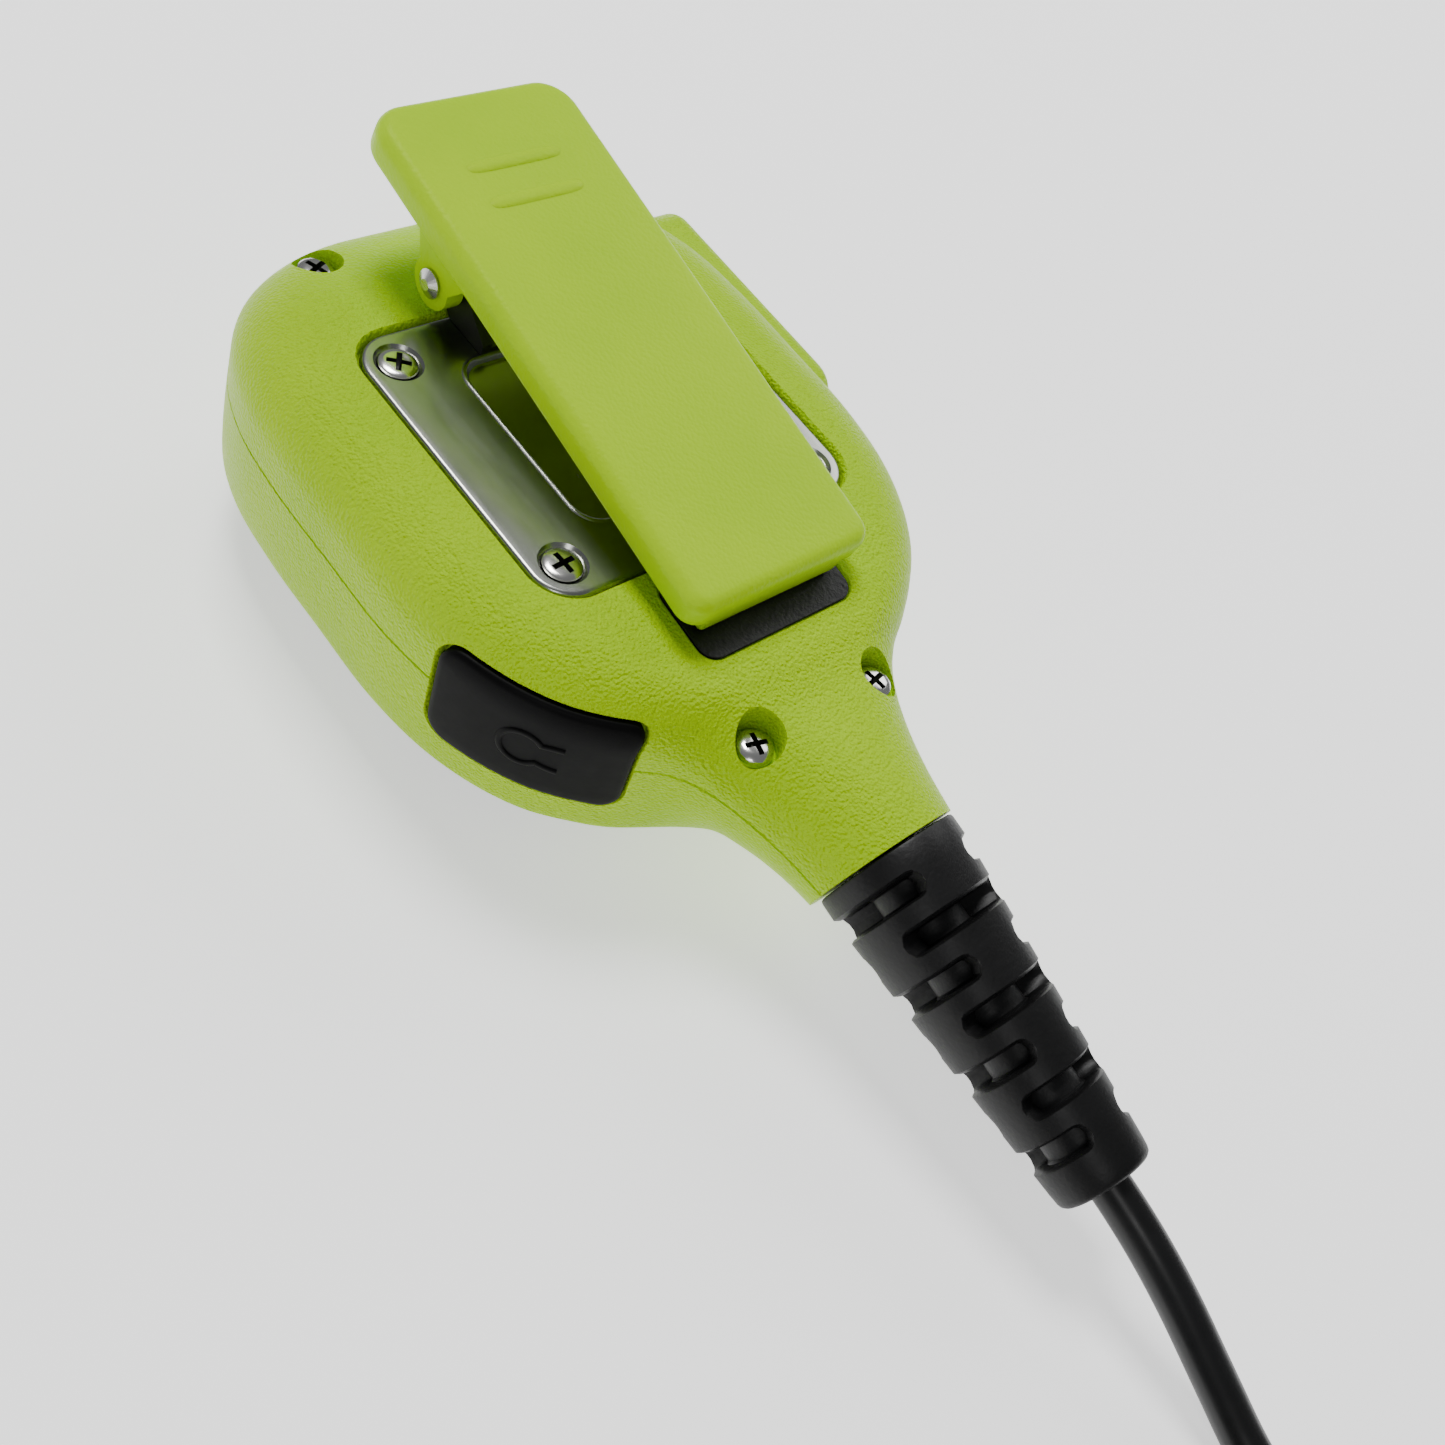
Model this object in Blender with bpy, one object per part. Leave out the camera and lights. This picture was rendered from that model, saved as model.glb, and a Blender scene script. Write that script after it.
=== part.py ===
"""Remote speaker microphone of a two-way radio: a clip-on palm unit that lies on its front face.

Lengths are in millimetres and turn into metres in make_mesh. The frame has +Z out of the back
cover, +Y towards the end away from the cord, and Z = 0 on the front face that the unit rests on.
Heights named in "back" coordinates count from the clip plate's outer face, BACK_HEIGHT above Z = 0.
"""

import math

import bmesh
import bpy
from mathutils import Matrix, Vector

MM = 0.001
BACK_HEIGHT = 34.0

# Housing: stations along Y, each with the section's half width, flat half width of the back,
# back height, height of the widest line, floor height and flat half width of the floor.
STATIONS = [
    (39.5, 11.6, 5.3, -6.6, -8.5, -19.0, 9.6),
    (38.7, 18.0, 8.6, -4.2, -8.2, -22.4, 16.6),
    (36.8, 23.6, 13.5, -2.3, -7.8, -23.7, 22.6),
    (33.5, 28.2, 18.5, -1.0, -7.4, -24.0, 27.2),
    (28.5, 31.9, 22.8, -0.1, -7.2, -24.0, 30.9),
    (21.4, 34.4, 25.8, 0.2, -7.0, -24.0, 33.3),
    (13.0, 35.3, 26.8, 0.3, -7.0, -24.0, 34.2),
    (2.0, 35.4, 27.0, 0.3, -7.0, -24.0, 34.4),
    (-10.0, 35.2, 26.5, 0.3, -7.0, -24.0, 34.3),
    (-18.0, 33.8, 25.0, 0.3, -7.1, -24.0, 33.0),
    (-24.5, 31.4, 22.3, 0.0, -7.3, -24.0, 30.6),
    (-29.5, 28.4, 19.0, -0.6, -7.6, -24.0, 27.6),
    (-33.5, 24.6, 15.0, -1.2, -8.2, -23.9, 23.8),
    (-36.6, 20.8, 11.0, -2.1, -9.0, -23.8, 20.0),
    (-39.0, 17.5, 7.4, -3.1, -10.0, -23.7, 15.6),
    (-41.4, 15.4, 5.4, -3.8, -10.8, -23.6, 10.8),
    (-43.6, 14.1, 4.0, -4.0, -11.5, -23.5, 6.8),
    (-47.5, 12.4, 2.2, -4.2, -12.4, -23.5, 3.8),
    (-53.0, 10.7, 0.8, -4.6, -13.2, -23.7, 1.2),
    (-61.0, 9.2, 0.0, -5.3, -14.2, -24.2, 0.0),
]
SIDE_WALL = 3.4
BACK_WALL = 4.0
FLOOR_WALL = 2.0
SECTION_STEPS = 6

# Parting line between the two housings: level, then falling with the neck.
PARTING_LEVEL = -11.3
PARTING_KNEE_Y = -38.0
PARTING_SLOPE = 0.17
PARTING_GAP = 0.15

# Neck end and strain relief, along an axis that tilts down from the neck.
NECK_END = Vector((0.0, -58.4, -13.6))
NECK_TILT = math.radians(9.0)
RELIEF_LENGTH = 42.6
RELIEF_START_R = 8.9
RELIEF_END_R = 5.7
RELIEF_SLOT = 2.6
RELIEF_PITCH = 5.3
RELIEF_SLOT_REACH = 0.9
RELIEF_FIRST = 4.7
RELIEF_CORE_R = 3.9
RELIEF_TAIL_R = 3.4
RELIEF_FLANGE_R = 4.5

# Clip plate, its screws and the bracket that carries the clip's pin.
PLATE_HALF_X = 23.5
PLATE_HALF_Y = 20.4
PLATE_CORNER = 5.0
PLATE_T = 1.2
PLATE_POCKET_MARGIN = 0.5
PLATE_POCKET_Z = -1.5
EMBOSS_X = 12.8
EMBOSS_TOP_Y = 12.8
EMBOSS_BOTTOM_Y = -12.4
EMBOSS_DEPTH = 0.4
PLATE_SCREW_X = 19.1
PLATE_SCREW_Y = 15.8
PLATE_SCREW_HEAD_R = 2.48
PLATE_SCREW_R = 1.25

# Belt clip in its own frame: v runs up the slab, n points out of it, from the pin's axis.
PIN_Y = 20.8
PIN_Z = 5.4
PIN_R = 1.25
PIN_HALF = 12.75
PIN_HEAD_R = 1.75
CLIP_TILT = math.radians(10.0)
CLIP_HALF_X = 13.9
CLIP_TOP_V = 17.4
CLIP_BOTTOM_V = -50.8
CLIP_UNDER_N = 5.0
CLIP_OUTER_N = 9.3
CLIP_LIP_N = 3.1
CLIP_LIP_HALF_X = 10.7
CLIP_EAR_X = (10.3, 12.6)
CLIP_EAR_R = 3.1
RIDGE_V = (1.9, 6.9)
RIDGE_HALF_X = 6.6
RIDGE_R = 0.9
BRACKET_X = (8.2, 9.4)

# Screws that hold the housings together.
TOP_SCREW = (17.8, 34.2)
TOP_SCREW_HEAD_Z = -3.1
NECK_SCREW = (9.7, -42.0)
NECK_SCREW_HEAD_Z = -6.1
HOUSING_SCREW_HEAD_R = 2.3
HOUSING_SCREW_HEAD_H = 1.7
HOUSING_SCREW_R = 1.1
HOUSING_SCREW_LENGTH = 9.0
COUNTERBORE_R = 2.9
POST_R = 3.6

# Label under the clip's lip.
LABEL_HALF_X = 11.7
LABEL_Y = (-33.2, -22.4)
LABEL_TILT = math.radians(6.0)
LABEL_T = 0.35
LABEL_EDGE_Z = -0.32

# Jack cover, wrapped round the lower left wall.
COVER_Y = (-16.4, -35.2)
COVER_Z = (-19.0, -5.5)
COVER_T = 1.6
COVER_GAP = 0.3
COVER_PIVOT_ROOM = 0.1
JACK_Z = -12.4

# Push-to-talk button on the right wall, in a raised bezel.
BEZEL_Y = (-4.4, 32.4)
BEZEL_Z = (-19.4, -3.8)
BEZEL_X = 37.8
PTT_Y = (-0.2, 21.6)
PTT_Z = (-17.4, -9.0)
PTT_FACE_X = 39.3
PTT_GAP = 0.3
PTT_FLANGE_X = (28.4, 29.5)
PTT_FLANGE_RIM = 1.3

# Front panel, speaker and microphone.
PANEL_FACE_HALF_X = 22.5
PANEL_FACE_Y = (-26.0, 29.0)
PANEL_FACE_CORNER = 11.0
PANEL_WALL = 2.0
SPEAKER_Y = 13.0
SPEAKER_R = 14.0
SLOT_ROWS = 5
SLOT_PITCH = 3.2
SLOT_HALF_W = 0.8
MIC_Y = -14.0

# Free cord: route from the relief's end to the coil, coil, and tail to the plug.
CORD_R = 2.5
COIL_CENTRE = Vector((-39.0, -152.0, 0.0))
COIL_MEAN_R = 28.0
COIL_BAND = 15.2
COIL_HEIGHT = 9.6
CORD_ROUTE = [
    (0.0, -100.8, 13.75),
    (0.0, -104.0, 13.15),
    (0.0, -108.0, 12.2),
    (0.0, -112.0, 10.95),
    (0.0, -116.5, 9.25),
    (-0.05, -121.0, 7.35),
    (-0.1, -125.5, 5.45),
    (-0.3, -130.0, 3.75),
    (-0.7, -134.5, 2.75),
    (-1.6, -139.5, 2.55),
]
TAIL_ROUTE = [
    (-72.8, -171.5, 2.55),
    (-75.9, -166.0, 2.55),
    (-78.0, -160.0, 2.55),
    (-78.8, -154.0, 2.7),
    (-78.3, -148.0, 3.3),
    (-76.6, -142.0, 4.3),
    (-74.4, -137.0, 5.1),
    (-72.75, -134.4, 5.4),
    (-72.35, -131.9, 5.5),
]
PLUG_Y = (-118.5, -100.5)
PLUG_X = -72.3
PLUG_HALF_X = 11.5
PLUG_HEIGHT = 11.0


def clear_scene():
    for item in list(bpy.data.objects):
        bpy.data.objects.remove(item, do_unlink=True)


def material(name, color, roughness, metallic=0.0):
    mat = bpy.data.materials.new(name)
    mat.use_nodes = True
    bsdf = mat.node_tree.nodes["Principled BSDF"]
    bsdf.inputs["Base Color"].default_value = (*color, 1.0)
    bsdf.inputs["Roughness"].default_value = roughness
    bsdf.inputs["Metallic"].default_value = metallic
    mat.diffuse_color = (*color, 1.0)
    return mat


def make_mesh(name, points, faces, mat=None, back=True):
    """A mesh object from millimetre points; back=True adds BACK_HEIGHT to their Z."""
    lift = BACK_HEIGHT if back else 0.0
    mesh = bpy.data.meshes.new(name)
    mesh.from_pydata([(x * MM, y * MM, (z + lift) * MM) for x, y, z in points], [], faces)
    bm = bmesh.new()
    bm.from_mesh(mesh)
    bmesh.ops.remove_doubles(bm, verts=bm.verts, dist=1e-6)
    bmesh.ops.recalc_face_normals(bm, faces=bm.faces)
    bm.to_mesh(mesh)
    bm.free()
    obj = bpy.data.objects.new(name, mesh)
    bpy.context.collection.objects.link(obj)
    if mat:
        obj.data.materials.append(mat)
    return obj


def loft(name, rings, mat=None, back=True):
    """A closed solid through rings of equal length, with flat caps."""
    count = len(rings[0])
    points = [p for ring in rings for p in ring]
    faces = []
    for i in range(len(rings) - 1):
        for j in range(count):
            k = (j + 1) % count
            faces.append((i * count + j, i * count + k, (i + 1) * count + k, (i + 1) * count + j))
    faces.append(tuple(range(count)))
    faces.append(tuple(range((len(rings) - 1) * count, len(rings) * count)))
    return make_mesh(name, points, faces, mat, back)


def rounded_rectangle(x0, x1, y0, y1, radius, steps=4):
    """Corner arcs joined by straight sides, as (x, y) points."""
    outline = []
    corners = (
        (x1 - radius, y1 - radius, 0),
        (x0 + radius, y1 - radius, 90),
        (x0 + radius, y0 + radius, 180),
        (x1 - radius, y0 + radius, 270),
    )
    for cx, cy, start in corners:
        for i in range(steps + 1):
            angle = math.radians(start + 90 * i / steps)
            outline.append((cx + radius * math.cos(angle), cy + radius * math.sin(angle)))
    return outline


def circle(cx, cy, radius, sides=20):
    turn = 2 * math.pi / sides
    return [(cx + radius * math.cos(i * turn), cy + radius * math.sin(i * turn)) for i in range(sides)]


def prism_z(name, outline, z0, z1, mat=None, back=True):
    return loft(name, [[(x, y, z) for x, y in outline] for z in (z0, z1)], mat, back)


def prism_x(name, outline, x0, x1, mat=None, back=True):
    """A prism whose outline is given as (y, z) points."""
    return loft(name, [[(x, y, z) for y, z in outline] for x in (x0, x1)], mat, back)


def box(name, xs, ys, zs, mat=None, back=True):
    corners = [(xs[0], ys[0]), (xs[1], ys[0]), (xs[1], ys[1]), (xs[0], ys[1])]
    return prism_z(name, corners, zs[0], zs[1], mat, back)


def turned(name, profile, mat=None, origin=(0, 0, 0), axis=(0, 0, 1), sides=24, back=True):
    """A solid turned about an axis: profile holds (radius, distance along the axis) points."""
    direction = Vector(axis).normalized()
    frame = direction.to_track_quat("Z", "Y").to_matrix()
    rings = []
    for radius, along in profile:
        ring = []
        for x, y in circle(0, 0, max(radius, 0.01), sides):
            ring.append(tuple(Vector(origin) + frame @ Vector((x, y, along))))
        rings.append(ring)
    return loft(name, rings, mat, back)


def revolve_closed(name, profile, centre, mat=None, sides=40, back=True):
    """A closed ring solid about a vertical axis, from a closed (radius, z) profile."""
    count = len(profile)
    points = []
    faces = []
    for i in range(sides):
        angle = 2 * math.pi * i / sides
        for radius, z in profile:
            points.append((centre[0] + radius * math.cos(angle), centre[1] + radius * math.sin(angle), z))
        for j in range(count):
            k = (j + 1) % count
            n = (i + 1) % sides
            faces.append((i * count + j, i * count + k, n * count + k, n * count + j))
    return make_mesh(name, points, faces, mat, back)


def combine(target, tool, operation):
    """Boolean target with tool, keep the result on target and drop the tool."""
    modifier = target.modifiers.new("cut", "BOOLEAN")
    modifier.operation = operation
    modifier.solver = "EXACT"
    modifier.object = tool
    graph = bpy.context.evaluated_depsgraph_get()
    result = bpy.data.meshes.new_from_object(target.evaluated_get(graph))
    target.modifiers.clear()
    old = target.data
    target.data = result
    bpy.data.meshes.remove(old)
    bpy.data.objects.remove(tool, do_unlink=True)
    bm = bmesh.new()
    bm.from_mesh(target.data)
    bmesh.ops.remove_doubles(bm, verts=bm.verts, dist=2e-6)
    bmesh.ops.dissolve_degenerate(bm, edges=bm.edges, dist=2e-6)
    bm.to_mesh(target.data)
    bm.free()
    return target


def cut(target, tool):
    return combine(target, tool, "DIFFERENCE")


def join(target, tool):
    return combine(target, tool, "UNION")


def keep_inside(target, tool):
    return combine(target, tool, "INTERSECT")


def bevel(obj, width, angle=40.0, segments=2):
    """Round the edges sharper than angle, in the mesh itself."""
    bm = bmesh.new()
    bm.from_mesh(obj.data)
    limit = math.radians(angle)
    edges = [e for e in bm.edges if len(e.link_faces) == 2 and e.calc_face_angle(0.0) > limit]
    bmesh.ops.bevel(bm, geom=edges, offset=width * MM, segments=segments, affect="EDGES", profile=0.5)
    bm.to_mesh(obj.data)
    bm.free()
    return obj


def set_origin(obj, point, back=True):
    """Put the object's origin on a joint's axis and leave its shape in place."""
    lift = BACK_HEIGHT if back else 0.0
    place = Vector((point[0], point[1], point[2] + lift)) * MM
    obj.data.transform(Matrix.Translation(-place))
    obj.location = place
    return obj


def section(station, inset=0.0, back_inset=0.0, floor_inset=0.0):
    """One closed ring of the housing at a station, shrunk by the insets for its inner wall."""
    y, half, flat, top, wide_z, floor, floor_flat = station
    half = half - inset
    flat = max(min(flat, half - 0.5), 0.4)
    floor_flat = max(floor_flat - inset, 0.4)
    top = top - back_inset
    floor = floor + floor_inset
    quarter = []
    for i in range(SECTION_STEPS + 1):
        angle = 0.5 * math.pi * i / SECTION_STEPS
        quarter.append((flat + (half - flat) * math.sin(angle), wide_z + (top - wide_z) * math.cos(angle)))
    for i in range(1, SECTION_STEPS + 1):
        angle = 0.5 * math.pi * i / SECTION_STEPS
        x = floor_flat + (half - floor_flat) * math.cos(angle)
        quarter.append((x, wide_z - (wide_z - floor) * math.sin(angle)))
    right = [(x, y, z) for x, z in quarter]
    left = [(-x, y, z) for x, z in reversed(quarter)]
    return right + left


def station_at(y):
    """The housing's section values at any Y, between the two nearest stations."""
    for upper, lower in zip(STATIONS, STATIONS[1:]):
        if upper[0] >= y >= lower[0]:
            t = (upper[0] - y) / (upper[0] - lower[0])
            return tuple(a + (b - a) * t for a, b in zip(upper, lower))
    return STATIONS[0] if y > STATIONS[0][0] else STATIONS[-1]


def wall_inset(z):
    """How far the side wall lies inside its widest line, at a height in back coordinates."""
    wide_z = -7.2
    if z > wide_z:
        rise = min((z - wide_z) / (0.3 - wide_z), 0.98)
        return 9.2 * (1.0 - math.sqrt(1.0 - rise * rise))
    return 1.1 * ((wide_z - z) / 12.8) ** 2


def side_outline(y_top, y_low, steps):
    """Points (x, y) along the left wall's widest line, evenly spaced by length."""
    dense = [(-station_at(y_top + (y_low - y_top) * i / 200)[1], y_top + (y_low - y_top) * i / 200)
             for i in range(201)]
    lengths = [0.0]
    for a, b in zip(dense, dense[1:]):
        lengths.append(lengths[-1] + math.dist(a, b))
    outline = []
    for i in range(steps + 1):
        want = lengths[-1] * i / steps
        j = max(k for k, length in enumerate(lengths) if length <= want + 1e-9)
        outline.append(dense[j])
    return outline


def offset_outline(outline, inset):
    """Move each point of an open outline towards the body by inset."""
    moved = []
    for i, (x, y) in enumerate(outline):
        a = Vector(outline[max(i - 1, 0)])
        b = Vector(outline[min(i + 1, len(outline) - 1)])
        along = (b - a).normalized()
        inward = Vector((-along.y, along.x))
        moved.append((x + inward.x * inset, y + inward.y * inset))
    return moved


def wall_patch(name, outline, heights, depth_in, depth_out, mat=None):
    """A curved plate that follows the left wall: outer face at -depth_out, inner at depth_in."""
    rings = []
    for z in heights:
        outer = offset_outline(outline, wall_inset(z) - depth_out)
        inner = offset_outline(outline, wall_inset(z) + depth_in)
        rings.append([(x, y, z) for x, y in outer + inner[::-1]])
    return loft(name, rings, mat)


def relief_point(x, up, along):
    """A point in the strain relief's own frame, in back coordinates."""
    axis = Vector((0.0, -math.cos(NECK_TILT), -math.sin(NECK_TILT)))
    lift = Vector((0.0, -math.sin(NECK_TILT), math.cos(NECK_TILT)))
    return tuple(NECK_END + Vector((x, 0, 0)) + lift * up + axis * along)


def relief_box(name, xs, ups, alongs):
    ring = [(xs[0], ups[0]), (xs[1], ups[0]), (xs[1], ups[1]), (xs[0], ups[1])]
    return loft(name, [[relief_point(x, up, along) for x, up in ring] for along in alongs])


def clip_point(x, v, n):
    """A point in the belt clip's own frame, in back coordinates."""
    y = PIN_Y + v * math.cos(CLIP_TILT) - n * math.sin(CLIP_TILT)
    z = PIN_Z + v * math.sin(CLIP_TILT) + n * math.cos(CLIP_TILT)
    return (x, y, z)


def housing_solid(name):
    return loft(name, [section(station) for station in STATIONS])


def inner_solid(name):
    """The housing's cavity: stations moved inwards at both ends."""
    rings = []
    for y in (36.0, 33.5, 28.5, 21.4, 13.0, 2.0, -10.0, -18.0, -24.5, -29.5, -33.5, -37.5, -42.5, -47.0, -53.0):
        neck = max(0.0, min(1.0, (-y - 34.0) / 10.0))
        rings.append(section(station_at(y), inset=SIDE_WALL, back_inset=BACK_WALL - neck * 0.8,
                             floor_inset=FLOOR_WALL + neck))
    return loft(name, rings)


def parting_block(name, above):
    """The half space above or below the parting line, as one tall prism."""
    gap = PARTING_GAP if above else -PARTING_GAP
    far = 20.0 if above else -40.0
    drop = PARTING_SLOPE * (70.0 + PARTING_KNEE_Y)
    profile = [
        (50.0, PARTING_LEVEL + gap),
        (PARTING_KNEE_Y, PARTING_LEVEL + gap),
        (-70.0, PARTING_LEVEL + gap - drop),
        (-70.0, far),
        (50.0, far),
    ]
    return prism_x(name, profile, -60.0, 60.0)


def bezel_solid(name):
    outline = rounded_rectangle(BEZEL_Y[0], BEZEL_Y[1], BEZEL_Z[0], BEZEL_Z[1], 4.0)
    slim = rounded_rectangle(BEZEL_Y[0] + 1.2, BEZEL_Y[1] - 1.2, BEZEL_Z[0] + 1.2, BEZEL_Z[1] - 1.2, 3.0)
    rings = [[(26.0, y, z) for y, z in outline], [(BEZEL_X - 1.0, y, z) for y, z in outline],
             [(BEZEL_X, y, z) for y, z in slim]]
    return loft(name, rings)


def posts(name, upper):
    """Screw posts of one housing as one tool, each a plain cylinder."""
    tool = None
    places = [(sx * TOP_SCREW[0], TOP_SCREW[1], POST_R + 0.3) for sx in (-1, 1)]
    places += [(sx * NECK_SCREW[0], NECK_SCREW[1], POST_R) for sx in (-1, 1)]
    if upper:
        places += [(sx * PLATE_SCREW_X, sy * PLATE_SCREW_Y, 2.7) for sx in (-1, 1) for sy in (-1, 1)]
    for x, y, radius in places:
        bottom = -9.6 if abs(x) == PLATE_SCREW_X else -30.0
        post = turned(name, [(radius, bottom), (radius, 10.0)], origin=(x, y, 0.0), sides=20)
        tool = post if tool is None else join(tool, post)
    return tool


def neck_trim(name):
    """Everything past the neck's end plane."""
    return relief_box(name, (-30, 30), (-30, 30), (0.0, 30.0))


def cover_patch(name, grow, depth_in, depth_out, mat=None):
    """The jack cover's place on the wall, grown on every side by grow."""
    outline = side_outline(COVER_Y[0] + grow, COVER_Y[1] - grow * 0.8, 12)
    z0 = COVER_Z[0] - grow
    z1 = COVER_Z[1] + grow
    heights = [z0 + (z1 - z0) * t for t in (0.0, 0.45, 0.75, 0.9, 1.0)]
    return wall_patch(name, outline, heights, depth_in, depth_out, mat)


def jack_axis():
    """The socket's point on the wall and its outward direction."""
    outline = side_outline(COVER_Y[0], COVER_Y[1], 12)
    a = Vector(outline[6])
    along = (Vector(outline[7]) - Vector(outline[5])).normalized()
    return a, Vector((along.y, -along.x))


def housings(mat):
    outer = housing_solid("rear_housing")
    join(outer, bezel_solid("bezel"))
    keep = outer.data.copy()
    lower = bpy.data.objects.new("front_housing", keep)
    bpy.context.collection.objects.link(lower)
    place, outward = jack_axis()
    for shell, upper in ((outer, True), (lower, False)):
        cavity = inner_solid("cavity")
        cut(cavity, posts("posts", upper))
        cut(shell, cavity)
        keep_inside(shell, parting_block("half", upper))
        cut(shell, neck_trim("trim"))
        tail_bore = turned("bore", [(RELIEF_TAIL_R + 0.25, -9.0), (RELIEF_TAIL_R + 0.25, 2.0)],
                           origin=tuple(NECK_END), axis=(0, -math.cos(NECK_TILT), -math.sin(NECK_TILT)))
        cut(shell, tail_bore)
        cut(shell, cover_patch("pocket", COVER_GAP, COVER_T + 0.2, 4.0))
        hole = turned("hole", [(3.3, -8.0), (3.3, 3.0)], origin=(place.x, place.y, JACK_Z),
                      axis=(outward.x, outward.y, 0.0), sides=20)
        cut(shell, hole)
        window = rounded_rectangle(PTT_Y[0] - PTT_GAP, PTT_Y[1] + PTT_GAP,
                                   PTT_Z[0] - PTT_GAP, PTT_Z[1] + PTT_GAP, 3.2)
        cut(shell, prism_x("window", window, 25.0, 45.0))
        shell.data.materials.append(mat)
    rear_cuts(outer)
    front_cuts(lower)
    return outer, lower


def rear_cuts(shell):
    margin = PLATE_POCKET_MARGIN
    pocket = rounded_rectangle(-PLATE_HALF_X - margin, PLATE_HALF_X + margin,
                               -PLATE_HALF_Y - margin, PLATE_HALF_Y + margin, PLATE_CORNER + margin)
    cut(shell, prism_z("pocket", pocket, PLATE_POCKET_Z, 10.0))
    cut(shell, label_solid("label_pocket", 0.25, -0.25, 8.0))
    for sx in (-1, 1):
        for sy in (-1, 1):
            cut(shell, turned("pilot", [(PLATE_SCREW_R + 0.15, -8.6), (PLATE_SCREW_R + 0.15, 2.0)],
                              origin=(sx * PLATE_SCREW_X, sy * PLATE_SCREW_Y, 0.0), sides=16))
        for (x, y), head_z in ((TOP_SCREW, TOP_SCREW_HEAD_Z), (NECK_SCREW, NECK_SCREW_HEAD_Z)):
            seat = head_z - HOUSING_SCREW_HEAD_H - 0.1
            cut(shell, turned("bore", [(COUNTERBORE_R, seat), (COUNTERBORE_R, 6.0)],
                              origin=(sx * x, y, 0.0), sides=24))
            cut(shell, turned("bore", [(HOUSING_SCREW_R + 0.2, -14.0), (HOUSING_SCREW_R + 0.2, 0.0)],
                              origin=(sx * x, y, 0.0), sides=16))


def front_cuts(shell):
    for sx in (-1, 1):
        for (x, y), head_z in ((TOP_SCREW, TOP_SCREW_HEAD_Z), (NECK_SCREW, NECK_SCREW_HEAD_Z)):
            end = head_z - HOUSING_SCREW_HEAD_H - HOUSING_SCREW_LENGTH - 0.4
            cut(shell, turned("pilot", [(HOUSING_SCREW_R + 0.12, end), (HOUSING_SCREW_R + 0.12, 0.0)],
                              origin=(sx * x, y, 0.0), sides=16))
    window = circle(0.0, SPEAKER_Y, SPEAKER_R + 1.6, 32)
    cut(shell, prism_z("speaker_window", window, -29.0, -19.0))
    cut(shell, prism_z("mic_window", circle(0.0, MIC_Y, 5.5, 20), -29.0, -19.0))


def label_solid(name, grow, z_low, z_high, mat=None):
    """The label's plate, tilted with the back, between two heights over its own plane."""
    outline = rounded_rectangle(-LABEL_HALF_X - grow, LABEL_HALF_X + grow,
                                LABEL_Y[0] - grow, LABEL_Y[1] + grow, 2.2)
    rings = []
    for height in (z_low, z_high):
        rings.append([(x, y, LABEL_EDGE_Z + (y - LABEL_Y[1]) * math.tan(LABEL_TILT) + height)
                      for x, y in outline])
    return loft(name, rings, mat)


def front_panel(mat):
    """Black front cover: a tapered shell with speaker slots and a microphone port."""
    rim = rounded_rectangle(-31.4, 31.4, -33.0, 35.4, 18.0, 6)
    face = rounded_rectangle(-PANEL_FACE_HALF_X, PANEL_FACE_HALF_X, *PANEL_FACE_Y, PANEL_FACE_CORNER, 6)
    middle = rounded_rectangle(-26.8, 26.8, -29.4, 32.2, 15.0, 6)
    bottom = -BACK_HEIGHT
    levels = ((rim, -24.25), (rim, -25.4), (middle, -30.0), (face, bottom + 0.5))
    rings = [[(x, y, z) for x, y in outline] for outline, z in levels]
    flat = rounded_rectangle(-PANEL_FACE_HALF_X + 0.8, PANEL_FACE_HALF_X - 0.8,
                             PANEL_FACE_Y[0] + 0.8, PANEL_FACE_Y[1] - 0.8, PANEL_FACE_CORNER - 0.8, 6)
    rings.append([(x, y, bottom) for x, y in flat])
    panel = loft("front_panel", rings, mat)
    inner_rim = rounded_rectangle(-29.0, 29.0, -30.6, 33.0, 16.0, 6)
    inner_middle = rounded_rectangle(-24.4, 24.4, -27.0, 30.0, 13.0, 6)
    inner_face = rounded_rectangle(-20.4, 20.4, -23.8, 26.8, 9.5, 6)
    levels = ((inner_rim, -23.0), (inner_rim, -25.8), (inner_middle, -29.6), (inner_face, bottom + PANEL_WALL))
    cut(panel, loft("hollow", [[(x, y, z) for x, y in outline] for outline, z in levels]))
    for row in range(SLOT_ROWS):
        y = SPEAKER_Y + (row - (SLOT_ROWS - 1) / 2) * SLOT_PITCH
        reach = math.sqrt((SPEAKER_R - 2.6) ** 2 - (y - SPEAKER_Y) ** 2)
        slot = rounded_rectangle(-reach, reach, y - SLOT_HALF_W, y + SLOT_HALF_W, SLOT_HALF_W - 0.05, 3)
        cut(panel, prism_z("slot", slot, bottom - 1.0, bottom + 4.0))
    cut(panel, prism_z("port", circle(0.0, MIC_Y, 0.8, 12), bottom - 1.0, bottom + 4.0))
    return panel


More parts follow.
